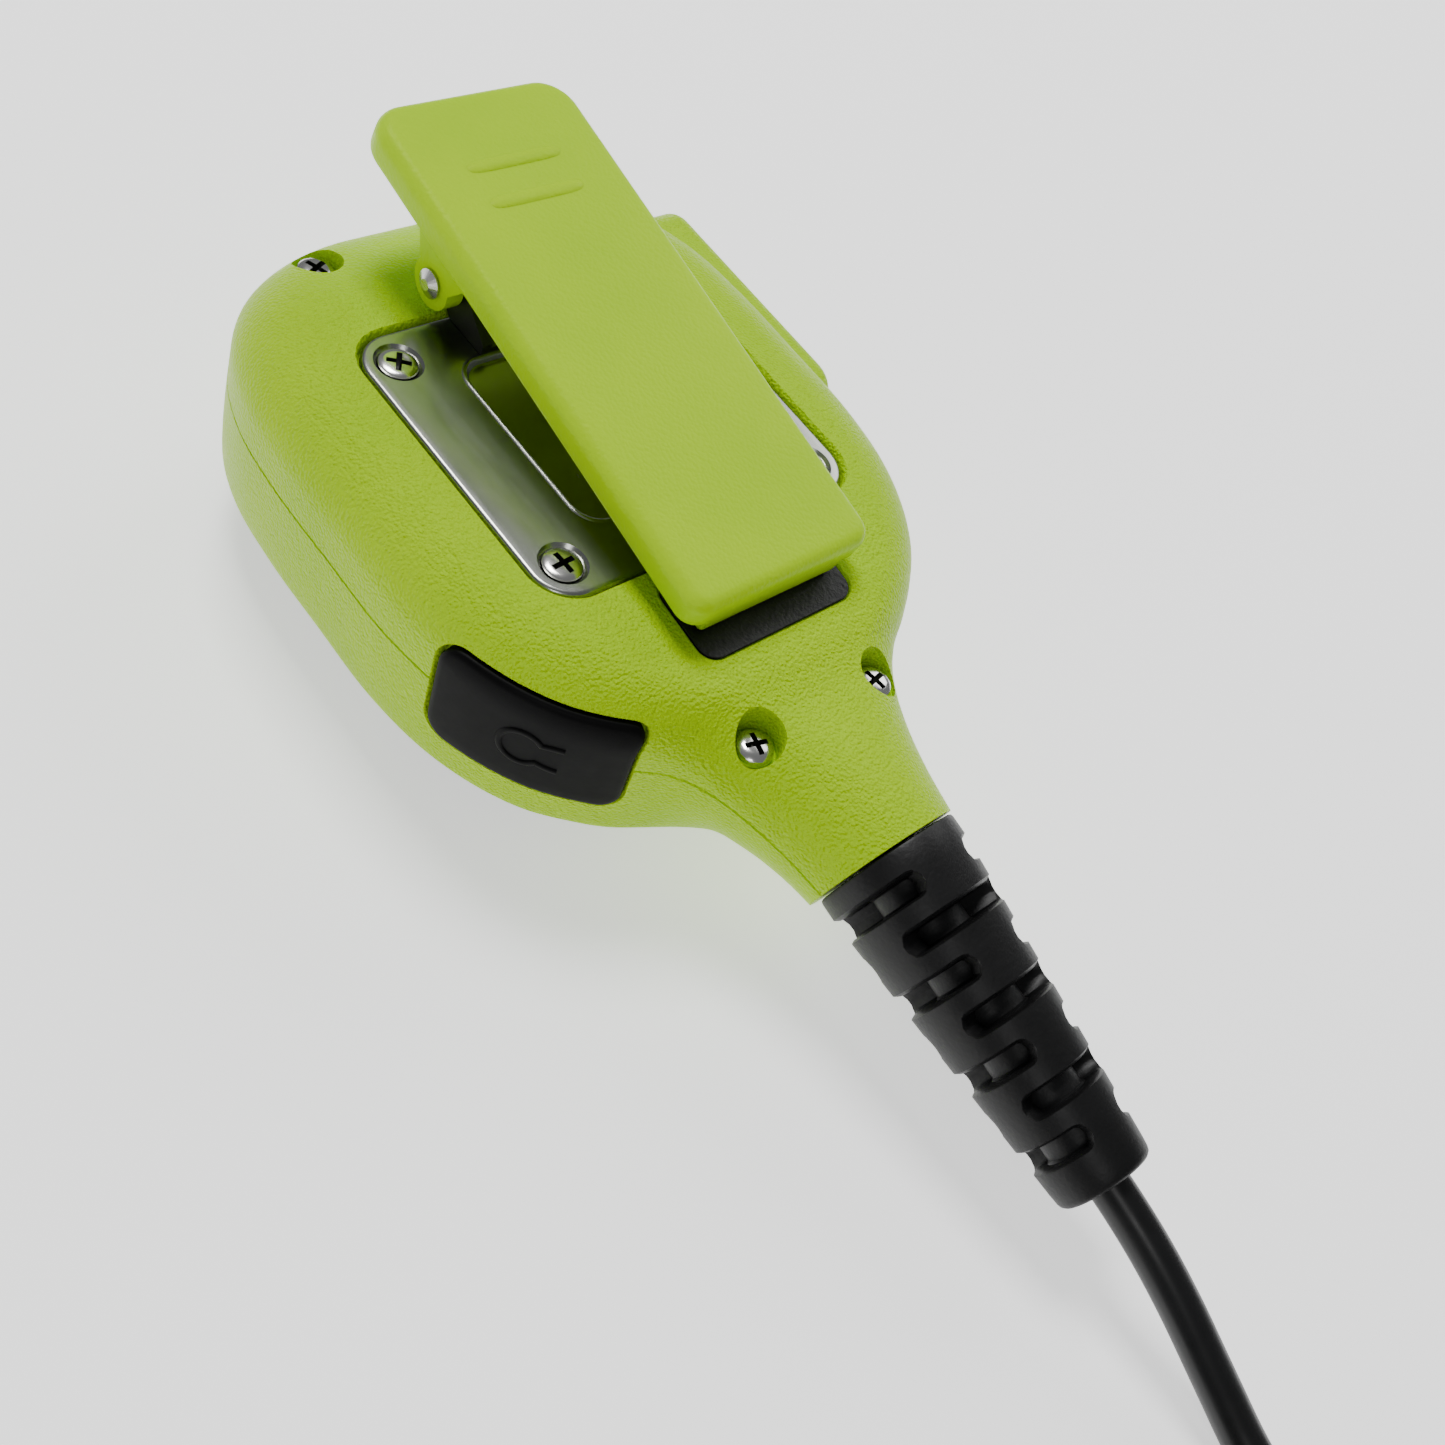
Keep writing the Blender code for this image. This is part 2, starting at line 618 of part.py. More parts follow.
def speaker_parts(mats):
    """Cloth screen, foam ring, basket, cone and magnet, stacked on the front panel's floor."""
    y = SPEAKER_Y
    floor = -BACK_HEIGHT + PANEL_WALL
    turned("dust_screen", [(SPEAKER_R - 0.3, floor + 0.1), (SPEAKER_R - 0.3, floor + 0.45)],
           mats["fabric"], (0, y, 0), sides=28)
    ring = [(12.3, floor + 0.55), (13.7, floor + 0.55), (13.7, floor + 1.15), (12.3, floor + 1.15)]
    revolve_closed("speaker_gasket", ring, (0, y), mats["rubber"], sides=28)
    basket = [(12.2, floor + 1.25), (SPEAKER_R, floor + 1.25), (SPEAKER_R, floor + 2.6), (12.8, floor + 3.0),
              (9.0, floor + 7.4), (9.0, floor + 8.4), (6.2, floor + 8.4), (6.2, floor + 7.4),
              (11.6, floor + 2.8)]
    revolve_closed("speaker_basket", basket, (0, y), mats["steel"], sides=28)
    turned("speaker_cone", [(1.6, floor + 3.5), (3.8, floor + 3.9), (11.2, floor + 1.4), (11.2, floor + 2.0),
                            (3.9, floor + 4.9), (1.6, floor + 4.3)], mats["paper"], (0, y, 0), sides=28)
    turned("speaker_magnet", [(5.7, floor + 5.6), (5.7, floor + 8.7), (8.4, floor + 8.7), (8.4, floor + 12.2)],
           mats["steel"], (0, y, 0), sides=28)


def microphone_parts(mats):
    base = -BACK_HEIGHT + PANEL_WALL
    turned("mic_capsule", [(3.0, base + 1.2), (3.0, base + 4.0)], mats["steel"], (0, MIC_Y, 0), sides=20)
    cup = turned("mic_boot", [(4.4, base + 0.1), (4.4, base + 4.4)], mats["rubber"], (0, MIC_Y, 0), sides=20)
    cut(cup, turned("bore", [(3.15, base + 1.05), (3.15, base + 6.0)], origin=(0, MIC_Y, 0), sides=20))
    cut(cup, turned("port", [(0.8, base - 1.0), (0.8, base + 2.0)], origin=(0, MIC_Y, 0), sides=12))


def clip_plate(mat):
    outline = rounded_rectangle(-PLATE_HALF_X, PLATE_HALF_X, -PLATE_HALF_Y, PLATE_HALF_Y, PLATE_CORNER, 5)
    edge = 0.35
    inner = rounded_rectangle(-PLATE_HALF_X + edge, PLATE_HALF_X - edge,
                              -PLATE_HALF_Y + edge, PLATE_HALF_Y - edge, PLATE_CORNER - edge, 5)
    rings = [[(x, y, -PLATE_T) for x, y in outline], [(x, y, -edge) for x, y in outline],
             [(x, y, 0.0) for x, y in inner]]
    plate = loft("clip_plate", rings, mat)
    emboss = rounded_rectangle(-EMBOSS_X, EMBOSS_X, EMBOSS_BOTTOM_Y, EMBOSS_TOP_Y, 3.0)
    cut(plate, prism_z("emboss", emboss, -EMBOSS_DEPTH, 2.0))
    for sx in (-1, 1):
        for sy in (-1, 1):
            sink = [(PLATE_SCREW_R + 0.35, -2.0), (PLATE_SCREW_R + 0.35, -1.0),
                    (PLATE_SCREW_HEAD_R + 0.3, -0.05), (PLATE_SCREW_HEAD_R + 0.55, 0.6)]
            cut(plate, turned("sink", sink, origin=(sx * PLATE_SCREW_X, sy * PLATE_SCREW_Y, 0.0), sides=20))
    return plate


def cross_recess(screw, x, y, top, reach, half, depth):
    for xs, ys in (((x - reach, x + reach), (y - half, y + half)), ((x - half, x + half), (y - reach, y + reach))):
        cut(screw, box("recess", xs, ys, (top - depth, top + 1.0)))


def plate_screws(mat):
    for i, (sx, sy) in enumerate(((-1, 1), (1, 1), (-1, -1), (1, -1)), 1):
        x = sx * PLATE_SCREW_X
        y = sy * PLATE_SCREW_Y
        profile = [(PLATE_SCREW_R, -8.0), (PLATE_SCREW_R, -1.2), (PLATE_SCREW_HEAD_R, -0.12),
                   (PLATE_SCREW_HEAD_R, 0.0)]
        screw = turned(f"plate_screw_{i}", profile, mat, (x, y, 0.0), sides=20)
        cross_recess(screw, x, y, 0.0, 1.4, 0.3, 0.8)


def housing_screws(mat):
    places = ((-1, TOP_SCREW, TOP_SCREW_HEAD_Z), (1, TOP_SCREW, TOP_SCREW_HEAD_Z),
              (-1, NECK_SCREW, NECK_SCREW_HEAD_Z), (1, NECK_SCREW, NECK_SCREW_HEAD_Z))
    for i, (sx, (px, y), top) in enumerate(places, 1):
        x = sx * px
        seat = top - HOUSING_SCREW_HEAD_H
        profile = [(HOUSING_SCREW_R, seat - HOUSING_SCREW_LENGTH), (HOUSING_SCREW_R, seat),
                   (HOUSING_SCREW_HEAD_R, seat), (HOUSING_SCREW_HEAD_R, top - 0.6), (1.7, top)]
        screw = turned(f"housing_screw_{i}", profile, mat, (x, y, 0.0), sides=20)
        cross_recess(screw, x, y, top, 1.3, 0.28, 0.8)


def clip_bracket(mat):
    """U bracket on the plate: a strap and two ears that carry the pin."""
    profile = [(13.4, 0.05), (19.8, 0.05), (23.2, 2.6)]
    for i in range(9):
        angle = math.radians(-10 + 200 * i / 8)
        profile.append((PIN_Y + 2.9 * math.cos(angle), PIN_Z + 2.9 * math.sin(angle)))
    profile.append((13.4, 1.4))
    bracket = box("clip_bracket", (-BRACKET_X[1], BRACKET_X[1]), (13.4, 19.8), (0.05, 0.85), mat)
    for sx in (-1, 1):
        ear = prism_x("ear", profile, sx * BRACKET_X[0], sx * BRACKET_X[1])
        join(bracket, ear)
    bore = turned("bore", [(PIN_R + 0.08, -20.0), (PIN_R + 0.08, 20.0)], origin=(0, PIN_Y, PIN_Z),
                  axis=(1, 0, 0), sides=24)
    return cut(bracket, bore)


def clip_pin(mat):
    head = PIN_HALF + 0.75
    profile = [(0.7, -head), (PIN_HEAD_R, -PIN_HALF - 0.2), (PIN_HEAD_R, -PIN_HALF), (PIN_R, -PIN_HALF),
               (PIN_R, PIN_HALF), (PIN_HEAD_R, PIN_HALF), (PIN_HEAD_R, PIN_HALF + 0.2), (0.7, head)]
    return turned("clip_pin", profile, mat, (0, PIN_Y, PIN_Z), (1, 0, 0), sides=24)


def slab_outline(half_x, v0, v1, corner_top, corner_low):
    """The clip's outline in its own plane, with its own corner radius at each end."""
    outline = []
    corners = ((half_x - corner_top, v1 - corner_top, 0, corner_top),
               (-half_x + corner_top, v1 - corner_top, 90, corner_top),
               (-half_x + corner_low, v0 + corner_low, 180, corner_low),
               (half_x - corner_low, v0 + corner_low, 270, corner_low))
    for cx, cy, start, radius in corners:
        for i in range(5):
            angle = math.radians(start + 90 * i / 4)
            outline.append((cx + radius * math.cos(angle), cy + radius * math.sin(angle)))
    return outline


def belt_clip(mat):
    """Slab with rounded edges, two finger ridges, a gripping lip and two pivot ears."""
    layers = ((1.0, CLIP_UNDER_N), (0.0, CLIP_UNDER_N + 1.0), (0.0, CLIP_OUTER_N - 2.0),
              (0.6, CLIP_OUTER_N - 0.7), (2.0, CLIP_OUTER_N))
    rings = []
    for inset, n in layers:
        outline = slab_outline(CLIP_HALF_X - inset, CLIP_BOTTOM_V + inset, CLIP_TOP_V - inset,
                               4.5 - inset, 3.4 - inset)
        rings.append([clip_point(x, v, n) for x, v in outline])
    clip = loft("belt_clip", rings, mat)
    lip = [(x, v, n) for n in (CLIP_LIP_N, CLIP_UNDER_N + 1.0)
           for x, v in ((-CLIP_LIP_HALF_X, CLIP_BOTTOM_V + 0.1), (CLIP_LIP_HALF_X, CLIP_BOTTOM_V + 0.1),
                        (CLIP_LIP_HALF_X, CLIP_BOTTOM_V + 2.6), (-CLIP_LIP_HALF_X, CLIP_BOTTOM_V + 2.6))]
    join(clip, loft("lip", [[clip_point(*p) for p in lip[:4]], [clip_point(*p) for p in lip[4:]]]))
    for sx in (-1, 1):
        arc = [math.radians(20 - 220 * i / 10) for i in range(11)]
        profile = [(5.8, CLIP_UNDER_N + 1.0)]
        profile += [(CLIP_EAR_R * math.cos(a), CLIP_EAR_R * math.sin(a)) for a in arc]
        profile += [(-5.8, CLIP_UNDER_N + 1.0)]
        rings = [[clip_point(sx * x, v, n) for v, n in profile] for x in CLIP_EAR_X]
        join(clip, loft("ear", rings))
    for v in RIDGE_V:
        ridge = turned("ridge", [(0.3, -RIDGE_HALF_X), (RIDGE_R, -RIDGE_HALF_X + 0.7),
                                 (RIDGE_R, RIDGE_HALF_X - 0.7), (0.3, RIDGE_HALF_X)],
                       origin=clip_point(0, v, CLIP_OUTER_N - 0.25), axis=(1, 0, 0), sides=12)
        join(clip, ridge)
    cut(clip, turned("bore", [(PIN_R + 0.08, -20.0), (PIN_R + 0.08, 20.0)], origin=(0, PIN_Y, PIN_Z),
                     axis=(1, 0, 0), sides=24))
    return set_origin(clip, (0, PIN_Y, PIN_Z))


def tube(name, points, radius, mat, back=True, resolution=2):
    """A cord or wire: a POLY curve with a round bevel and filled caps."""
    lift = BACK_HEIGHT if back else 0.0
    curve = bpy.data.curves.new(name, "CURVE")
    curve.dimensions = "3D"
    curve.resolution_u = 1
    curve.render_resolution_u = 0
    curve.bevel_depth = radius * MM
    curve.bevel_resolution = resolution
    curve.use_fill_caps = True
    spline = curve.splines.new("POLY")
    spline.points.add(len(points) - 1)
    for knot, (x, y, z) in zip(spline.points, points):
        knot.co = (x * MM, y * MM, (z + lift) * MM, 1.0)
    obj = bpy.data.objects.new(name, curve)
    bpy.context.collection.objects.link(obj)
    curve.materials.append(mat)
    return obj


def clip_spring(mat):
    """Torsion spring round the pin: one leg on the plate, one under the clip."""
    wire = 0.45
    coil_r = 2.05
    turns = 5
    half = 3.4
    points = [(-half, PIN_Y - 8.0, 0.95 + wire), (-half, PIN_Y - 4.0, PIN_Z - coil_r - 0.9)]
    steps = turns * 12
    for i in range(steps + 1):
        angle = math.radians(-90) + 2 * math.pi * i / 12
        x = -half + 2 * half * i / steps
        points.append((x, PIN_Y + coil_r * math.cos(angle), PIN_Z + coil_r * math.sin(angle)))
    leg = clip_point(half, -12.0, CLIP_UNDER_N - wire - 0.15)
    points.append((half + 0.2, PIN_Y - 4.2, PIN_Z - 0.9))
    points.append(leg)
    return tube("clip_spring", points, wire, mat, resolution=1)


def jack_cover(mat):
    """Rubber flap over the accessory socket, with a raised pad and a short plug."""
    cover = cover_patch("jack_cover", 0.0, COVER_T, 0.0, mat)
    place, outward = jack_axis()
    base = place - outward * 1.2
    plug = turned("plug", [(2.0, -2.6), (2.0, 0.5)], origin=(base.x, base.y, JACK_Z),
                  axis=(outward.x, outward.y, 0.0), sides=16)
    join(cover, plug)
    return set_origin(cover, cover_hinge())


def cover_hinge():
    """The flap's hinge line: a vertical at its upper end, on the wall's face."""
    station = station_at(COVER_Y[0])
    return (-station[1] + COVER_PIVOT_ROOM, COVER_Y[0], JACK_Z)


def jack_socket(mat):
    place, outward = jack_axis()
    front = place - outward * 6.0
    socket = turned("jack_socket", [(3.1, -6.0), (3.1, -1.0), (2.6, -1.0), (2.6, 1.6)],
                    mat, (front.x, front.y, JACK_Z), (outward.x, outward.y, 0.0), sides=20)
    return cut(socket, turned("bore", [(1.8, -5.0), (1.8, 3.0)], origin=(front.x, front.y, JACK_Z),
                              axis=(outward.x, outward.y, 0.0), sides=16))


def ptt_button(mat):
    """Push-to-talk key: a rounded cap through the bezel and a flange behind the wall."""
    radius = 2.9
    cap = rounded_rectangle(*PTT_Y, *PTT_Z, radius)
    slim = rounded_rectangle(PTT_Y[0] + 0.8, PTT_Y[1] - 0.8, PTT_Z[0] + 0.8, PTT_Z[1] - 0.8, radius - 0.8)
    rings = [[(PTT_FLANGE_X[1] - 0.4, y, z) for y, z in cap], [(PTT_FACE_X - 0.7, y, z) for y, z in cap],
             [(PTT_FACE_X, y, z) for y, z in slim]]
    button = loft("ptt_button", rings, mat)
    rim = PTT_FLANGE_RIM
    flange = rounded_rectangle(PTT_Y[0] - rim, PTT_Y[1] + rim, PTT_Z[0] - rim + 0.4, PTT_Z[1] + rim, radius)
    join(button, prism_x("flange", flange, *PTT_FLANGE_X))
    middle = ((PTT_Y[0] + PTT_Y[1]) / 2, (PTT_Z[0] + PTT_Z[1]) / 2)
    return set_origin(button, (PTT_FACE_X, *middle))


def electronics(mats):
    board = rounded_rectangle(-25.0, 25.0, -14.5, 28.0, 2.0)
    pcb = prism_z("pcb", board, -14.0, -12.4, mats["board"])
    switch = box("ptt_switch", (18.8, 25.0), (5.0, 11.0), (-12.35, -9.0), mats["plastic"])
    join(switch, turned("plunger", [(1.2, -1.0), (1.2, 2.3)], origin=(25.0, 8.0, -10.7), axis=(1, 0, 0), sides=12))
    box("audio_chip", (-8.0, 4.0), (0.0, 10.0), (-12.35, -10.9), mats["plastic"])
    wires = (("speaker_wire", [(5.0, SPEAKER_Y - 10.8, -23.0), (6.0, SPEAKER_Y - 12.4, -19.0),
                               (8.0, SPEAKER_Y - 12.8, -14.9)]),
             ("mic_wire", [(0.0, MIC_Y, -27.2), (0.6, MIC_Y + 0.8, -23.0), (1.6, MIC_Y + 2.0, -18.5),
                           (2.6, MIC_Y + 3.0, -14.9)]))
    for name, points in wires:
        tube(name, points, 0.5, mats["red"], resolution=1)
    return pcb


def strain_relief(mat):
    """Tapered rubber sleeve with crossed slots, a tail through the neck and a retaining flange."""
    profile = [(RELIEF_FLANGE_R, -8.6), (RELIEF_FLANGE_R, -6.8), (RELIEF_TAIL_R, -6.8), (RELIEF_TAIL_R, 0.3),
               (RELIEF_START_R, 0.3), (RELIEF_START_R, 3.2), (RELIEF_END_R + 0.3, RELIEF_LENGTH - 0.8),
               (RELIEF_END_R - 0.5, RELIEF_LENGTH)]
    axis = (0, -math.cos(NECK_TILT), -math.sin(NECK_TILT))
    sleeve = turned("strain_relief", profile, mat, tuple(NECK_END), axis, sides=28)
    for k in range(7):
        along = RELIEF_FIRST + RELIEF_PITCH * k
        radius = RELIEF_START_R + (RELIEF_END_R - RELIEF_START_R) * along / RELIEF_LENGTH
        span = (along - RELIEF_SLOT / 2, along + RELIEF_SLOT / 2)
        reach = radius * RELIEF_SLOT_REACH
        for side in (-1, 1):
            deep = sorted((side * RELIEF_CORE_R, side * 14.0))
            if k % 2 == 0:
                cut(sleeve, relief_box("slot", deep, (-reach, reach), span))
            else:
                cut(sleeve, relief_box("slot", (-reach, reach), deep, span))
    return sleeve


def smooth_route(points, spacing):
    """Even points along a Catmull-Rom curve through hand-placed route points."""
    knots = [Vector(p) for p in points]
    dense = []
    for i in range(len(knots) - 1):
        p0 = knots[max(i - 1, 0)]
        p1 = knots[i]
        p2 = knots[i + 1]
        p3 = knots[min(i + 2, len(knots) - 1)]
        for j in range(12):
            t = j / 12
            dense.append(0.5 * (2 * p1 + (p2 - p0) * t + (2 * p0 - 5 * p1 + 4 * p2 - p3) * t * t
                                + (3 * p1 - p0 - 3 * p2 + p3) * t ** 3))
    dense.append(knots[-1])
    total = sum((b - a).length for a, b in zip(dense, dense[1:]))
    count = max(round(total / spacing), 2)
    even = [dense[0]]
    run = 0.0
    for a, b in zip(dense, dense[1:]):
        step = (b - a).length
        while len(even) < count and run + step >= total * len(even) / count:
            t = (total * len(even) / count - run) / step
            even.append(a.lerp(b, t))
        run += step
    even.append(dense[-1])
    return [tuple(p) for p in even]


def free_cord(mats):
    """Cord tube, coil, tie, tail and plug, all on the surface that the unit lies on."""
    tube("cord", smooth_route(CORD_ROUTE, 6.0), CORD_R, mats["cord"], back=False, resolution=3)
    half = COIL_BAND / 2
    low = 0.05
    profile = [(COIL_MEAN_R - half, low + 2.4), (COIL_MEAN_R - half + 1.2, low), (COIL_MEAN_R + half - 1.2, low),
               (COIL_MEAN_R + half, low + 2.4), (COIL_MEAN_R + half - 2.4, COIL_HEIGHT),
               (COIL_MEAN_R - half + 2.4, COIL_HEIGHT)]
    revolve_closed("cord_coil", profile, COIL_CENTRE, mats["cord"], sides=40, back=False)
    tube("cord_tail", smooth_route(TAIL_ROUTE, 6.0), CORD_R, mats["cord"], back=False, resolution=3)


def plug(mats):
    """Generic two-pin accessory plug that lies flat beside the coil."""
    y0, y1 = PLUG_Y
    outline = rounded_rectangle(PLUG_X - PLUG_HALF_X, PLUG_X + PLUG_HALF_X, y0, y1, 3.0)
    shell = prism_z("plug_shell", outline, 0.05, PLUG_HEIGHT, mats["rubber"], back=False)
    bevel(shell, 0.9, 60.0, 1)
    turned("plug_boot", [(2.9, 0.0), (4.6, 12.0)], mats["rubber"], (PLUG_X, y0 - 12.3, 5.5), (0, 1, 0), 20, False)
    for name, offset, radius, length in (("plug_pin_a", -5.5, 1.75, 14.0), ("plug_pin_b", 5.5, 1.25, 11.0)):
        profile = [(radius, 0.0), (radius, length - 2.6), (radius * 0.7, length - 2.2),
                   (radius, length - 1.6), (radius * 0.35, length)]
        turned(name, profile, mats["brass"], (PLUG_X + offset, y1 + 0.3, 5.5), (0, 1, 0), 16, False)


def cord_tie(mat):
    """Strap round the coil's band, on its side away from the unit."""
    x = COIL_CENTRE.x
    low_y = COIL_CENTRE.y - COIL_MEAN_R - COIL_BAND / 2
    high_y = low_y + COIL_BAND
    top = COIL_HEIGHT + 0.3
    outline = [(low_y - 1.5, 0.05), (low_y - 1.5, top + 1.2), (high_y + 1.5, top + 1.2), (high_y + 1.5, 0.05),
               (high_y + 0.5, 0.05), (high_y + 0.5, top), (low_y - 0.3, top), (low_y - 0.3, 0.05)]
    return prism_x("cord_tie", outline, x - 3.0, x + 3.0, mat, back=False)


def main():
    clear_scene()
    lime = material("lime_plastic", (0.55, 0.75, 0.02), 0.4)
    mats = {
        "steel": material("bright_steel", (0.72, 0.72, 0.70), 0.25, 1.0),
        "rubber": material("black_rubber", (0.02, 0.02, 0.02), 0.6),
        "plastic": material("black_plastic", (0.03, 0.03, 0.03), 0.45),
        "fabric": material("screen_cloth", (0.03, 0.03, 0.03), 0.9),
        "paper": material("cone_paper", (0.08, 0.08, 0.08), 0.8),
        "board": material("board_green", (0.02, 0.16, 0.06), 0.5),
        "brass": material("plated_pins", (0.80, 0.68, 0.35), 0.25, 1.0),
        "cord": material("cord_jacket", (0.03, 0.03, 0.03), 0.5),
        "red": material("wire_red", (0.5, 0.03, 0.03), 0.5),
    }
    housings(lime)
    front_panel(mats["plastic"])
    speaker_parts(mats)
    microphone_parts(mats)
    clip_plate(mats["steel"])
    plate_screws(mats["steel"])
    housing_screws(mats["steel"])
    clip_bracket(mats["steel"])
    clip_pin(mats["steel"])
    clip_spring(mats["steel"])
    belt_clip(lime)
    label_solid("label", 0.0, 0.05, 0.05 + LABEL_T, mats["plastic"])
    jack_cover(mats["rubber"])
    jack_socket(mats["plastic"])
    ptt_button(mats["rubber"])
    electronics(mats)
    strain_relief(mats["rubber"])
    free_cord(mats)
    plug(mats)
    cord_tie(mats["fabric"])


main()
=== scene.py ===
"""Look of the remote speaker microphone: visual meshes, materials, cord, light and camera.

Lengths are in millimetres and turn into metres in make_mesh. "Back" heights count from the clip
plate's outer face, BACK_HEIGHT above the surface that the unit lies on, as in part.py.
"""

import math

import bmesh
import bpy
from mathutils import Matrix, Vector

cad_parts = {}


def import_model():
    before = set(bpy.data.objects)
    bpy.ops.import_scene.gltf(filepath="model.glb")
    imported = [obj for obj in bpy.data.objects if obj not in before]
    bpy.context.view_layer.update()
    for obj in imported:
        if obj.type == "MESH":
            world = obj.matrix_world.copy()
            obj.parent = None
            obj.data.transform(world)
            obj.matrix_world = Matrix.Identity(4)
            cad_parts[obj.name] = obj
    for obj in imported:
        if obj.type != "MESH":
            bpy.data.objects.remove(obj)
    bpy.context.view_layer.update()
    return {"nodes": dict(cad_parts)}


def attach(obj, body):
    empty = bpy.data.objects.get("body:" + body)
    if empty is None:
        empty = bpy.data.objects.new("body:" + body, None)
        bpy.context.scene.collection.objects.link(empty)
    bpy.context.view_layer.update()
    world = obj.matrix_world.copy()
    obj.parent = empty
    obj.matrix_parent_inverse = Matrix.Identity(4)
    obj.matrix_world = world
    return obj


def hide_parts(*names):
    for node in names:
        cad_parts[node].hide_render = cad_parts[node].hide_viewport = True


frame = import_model()
NODES = frame["nodes"]

MM = 0.001
BACK_HEIGHT = 34.0

# Housing stations as in part.py: y, half width, flat half width of the back, back height,
# height of the widest line, floor height, flat half width of the floor.
STATIONS = [
    (39.72, 3.0, 1.5, -11.0, -11.5, -14.0, 2.0),
    (39.68, 7.6, 3.4, -8.6, -9.2, -16.8, 6.0),
    (39.5, 11.6, 5.3, -6.6, -8.5, -19.0, 9.6),
    (38.7, 18.0, 8.6, -4.2, -8.2, -22.4, 16.6),
    (36.8, 23.6, 13.5, -2.3, -7.8, -23.7, 22.6),
    (33.5, 28.2, 18.5, -1.0, -7.4, -24.0, 27.2),
    (28.5, 31.9, 22.8, -0.1, -7.2, -24.0, 30.9),
    (21.4, 34.4, 25.8, 0.2, -7.0, -24.0, 33.3),
    (13.0, 35.3, 26.8, 0.3, -7.0, -24.0, 34.2),
    (2.0, 35.4, 27.0, 0.3, -7.0, -24.0, 34.4),
    (-10.0, 35.2, 26.5, 0.3, -7.0, -24.0, 34.3),
    (-18.0, 33.8, 25.0, 0.3, -7.1, -24.0, 33.0),
    (-24.5, 31.4, 22.3, 0.0, -7.3, -24.0, 30.6),
    (-29.5, 28.4, 19.0, -0.6, -7.6, -24.0, 27.6),
    (-33.5, 24.6, 15.0, -1.2, -8.2, -23.9, 23.8),
    (-36.6, 20.8, 11.0, -2.1, -9.0, -23.8, 20.0),
    (-39.0, 17.5, 7.4, -3.1, -10.0, -23.7, 15.6),
    (-41.4, 15.4, 5.4, -3.8, -10.8, -23.6, 10.8),
    (-43.6, 14.1, 4.0, -4.0, -11.5, -23.5, 6.8),
    (-47.5, 12.4, 2.2, -4.2, -12.4, -23.5, 3.8),
    (-53.0, 10.7, 0.8, -4.6, -13.2, -23.7, 1.2),
    (-61.0, 9.2, 0.0, -5.3, -14.2, -24.2, 0.0),
]
PARTING_LEVEL = -11.3
PARTING_KNEE_Y = -38.0
PARTING_SLOPE = 0.17
NECK_END = Vector((0.0, -58.4, -13.6))
NECK_TILT = math.radians(9.0)
RELIEF_AXIS = (0, -math.cos(NECK_TILT), -math.sin(NECK_TILT))
SHELL_T = 3.4
PLATE_HALF_X = 23.5
PLATE_HALF_Y = 20.4
PLATE_CORNER = 5.0
PLATE_SCREW_X = 19.1
PLATE_SCREW_Y = 15.8
SCREW_PLACES = ((-17.8, 34.2, -2.4), (17.8, 34.2, -2.4), (-9.7, -42.0, -6.1), (9.7, -42.0, -6.1))
HOUSING_POST_R = 3.6
PLATE_POST_R = 2.7
COUNTERBORE_R = 2.9
EMBOSS_X = 12.8
EMBOSS_Y = (-12.4, 12.8)
EMBOSS_CORNER = 3.0
LABEL_HALF_X = 11.7
LABEL_Y = (-33.2, -22.4)
LABEL_TILT = math.radians(6.0)
LABEL_EDGE_Z = -0.32
BEZEL_Y = (-4.4, 32.4)
BEZEL_Z = (-19.4, -3.8)
BEZEL_CORNER = 4.0
BUTTON_Y = (-0.2, 21.6)
BUTTON_Z = (-17.4, -9.0)
SPEAKER_Y = 13.0
MIC_Y = -14.0
JACK_Z = -12.4
PIN_Y = 20.8
PIN_Z = 5.4
CLIP_TILT = math.radians(10.0)
COIL_CENTRE = Vector((-39.0, -152.0, 0.0))
CORD_R = 2.5


# ---------------------------------------------------------------- mesh helpers

def make_mesh(name, points, faces, mat=None, back=True, sharp=35.0):
    """A smooth-shaded mesh from millimetre points, with edges sharper than the angle kept."""
    lift = BACK_HEIGHT if back else 0.0
    mesh = bpy.data.meshes.new(name)
    mesh.from_pydata([(x * MM, y * MM, (z + lift) * MM) for x, y, z in points], [], faces)
    bm = bmesh.new()
    bm.from_mesh(mesh)
    bmesh.ops.remove_doubles(bm, verts=bm.verts, dist=1e-7)
    bmesh.ops.recalc_face_normals(bm, faces=bm.faces)
    bm.to_mesh(mesh)
    bm.free()
    obj = bpy.data.objects.new(name, mesh)
    bpy.context.scene.collection.objects.link(obj)
    if mat:
        mesh.materials.append(mat)
    smooth(obj, sharp)
    return obj


def smooth(obj, sharp=35.0):
    for face in obj.data.polygons:
        face.use_smooth = True
    obj.data.set_sharp_from_angle(angle=math.radians(sharp))


def loft(name, rings, mat=None, back=True, sharp=35.0, caps=True):
    count = len(rings[0])
    points = [p for ring in rings for p in ring]
    faces = []
    for i in range(len(rings) - 1):
        for j in range(count):
            k = (j + 1) % count
            faces.append((i * count + j, i * count + k, (i + 1) * count + k, (i + 1) * count + j))
    if caps:
        faces.append(tuple(range(count)))
        faces.append(tuple(range((len(rings) - 1) * count, len(rings) * count)))
    return make_mesh(name, points, faces, mat, back, sharp)


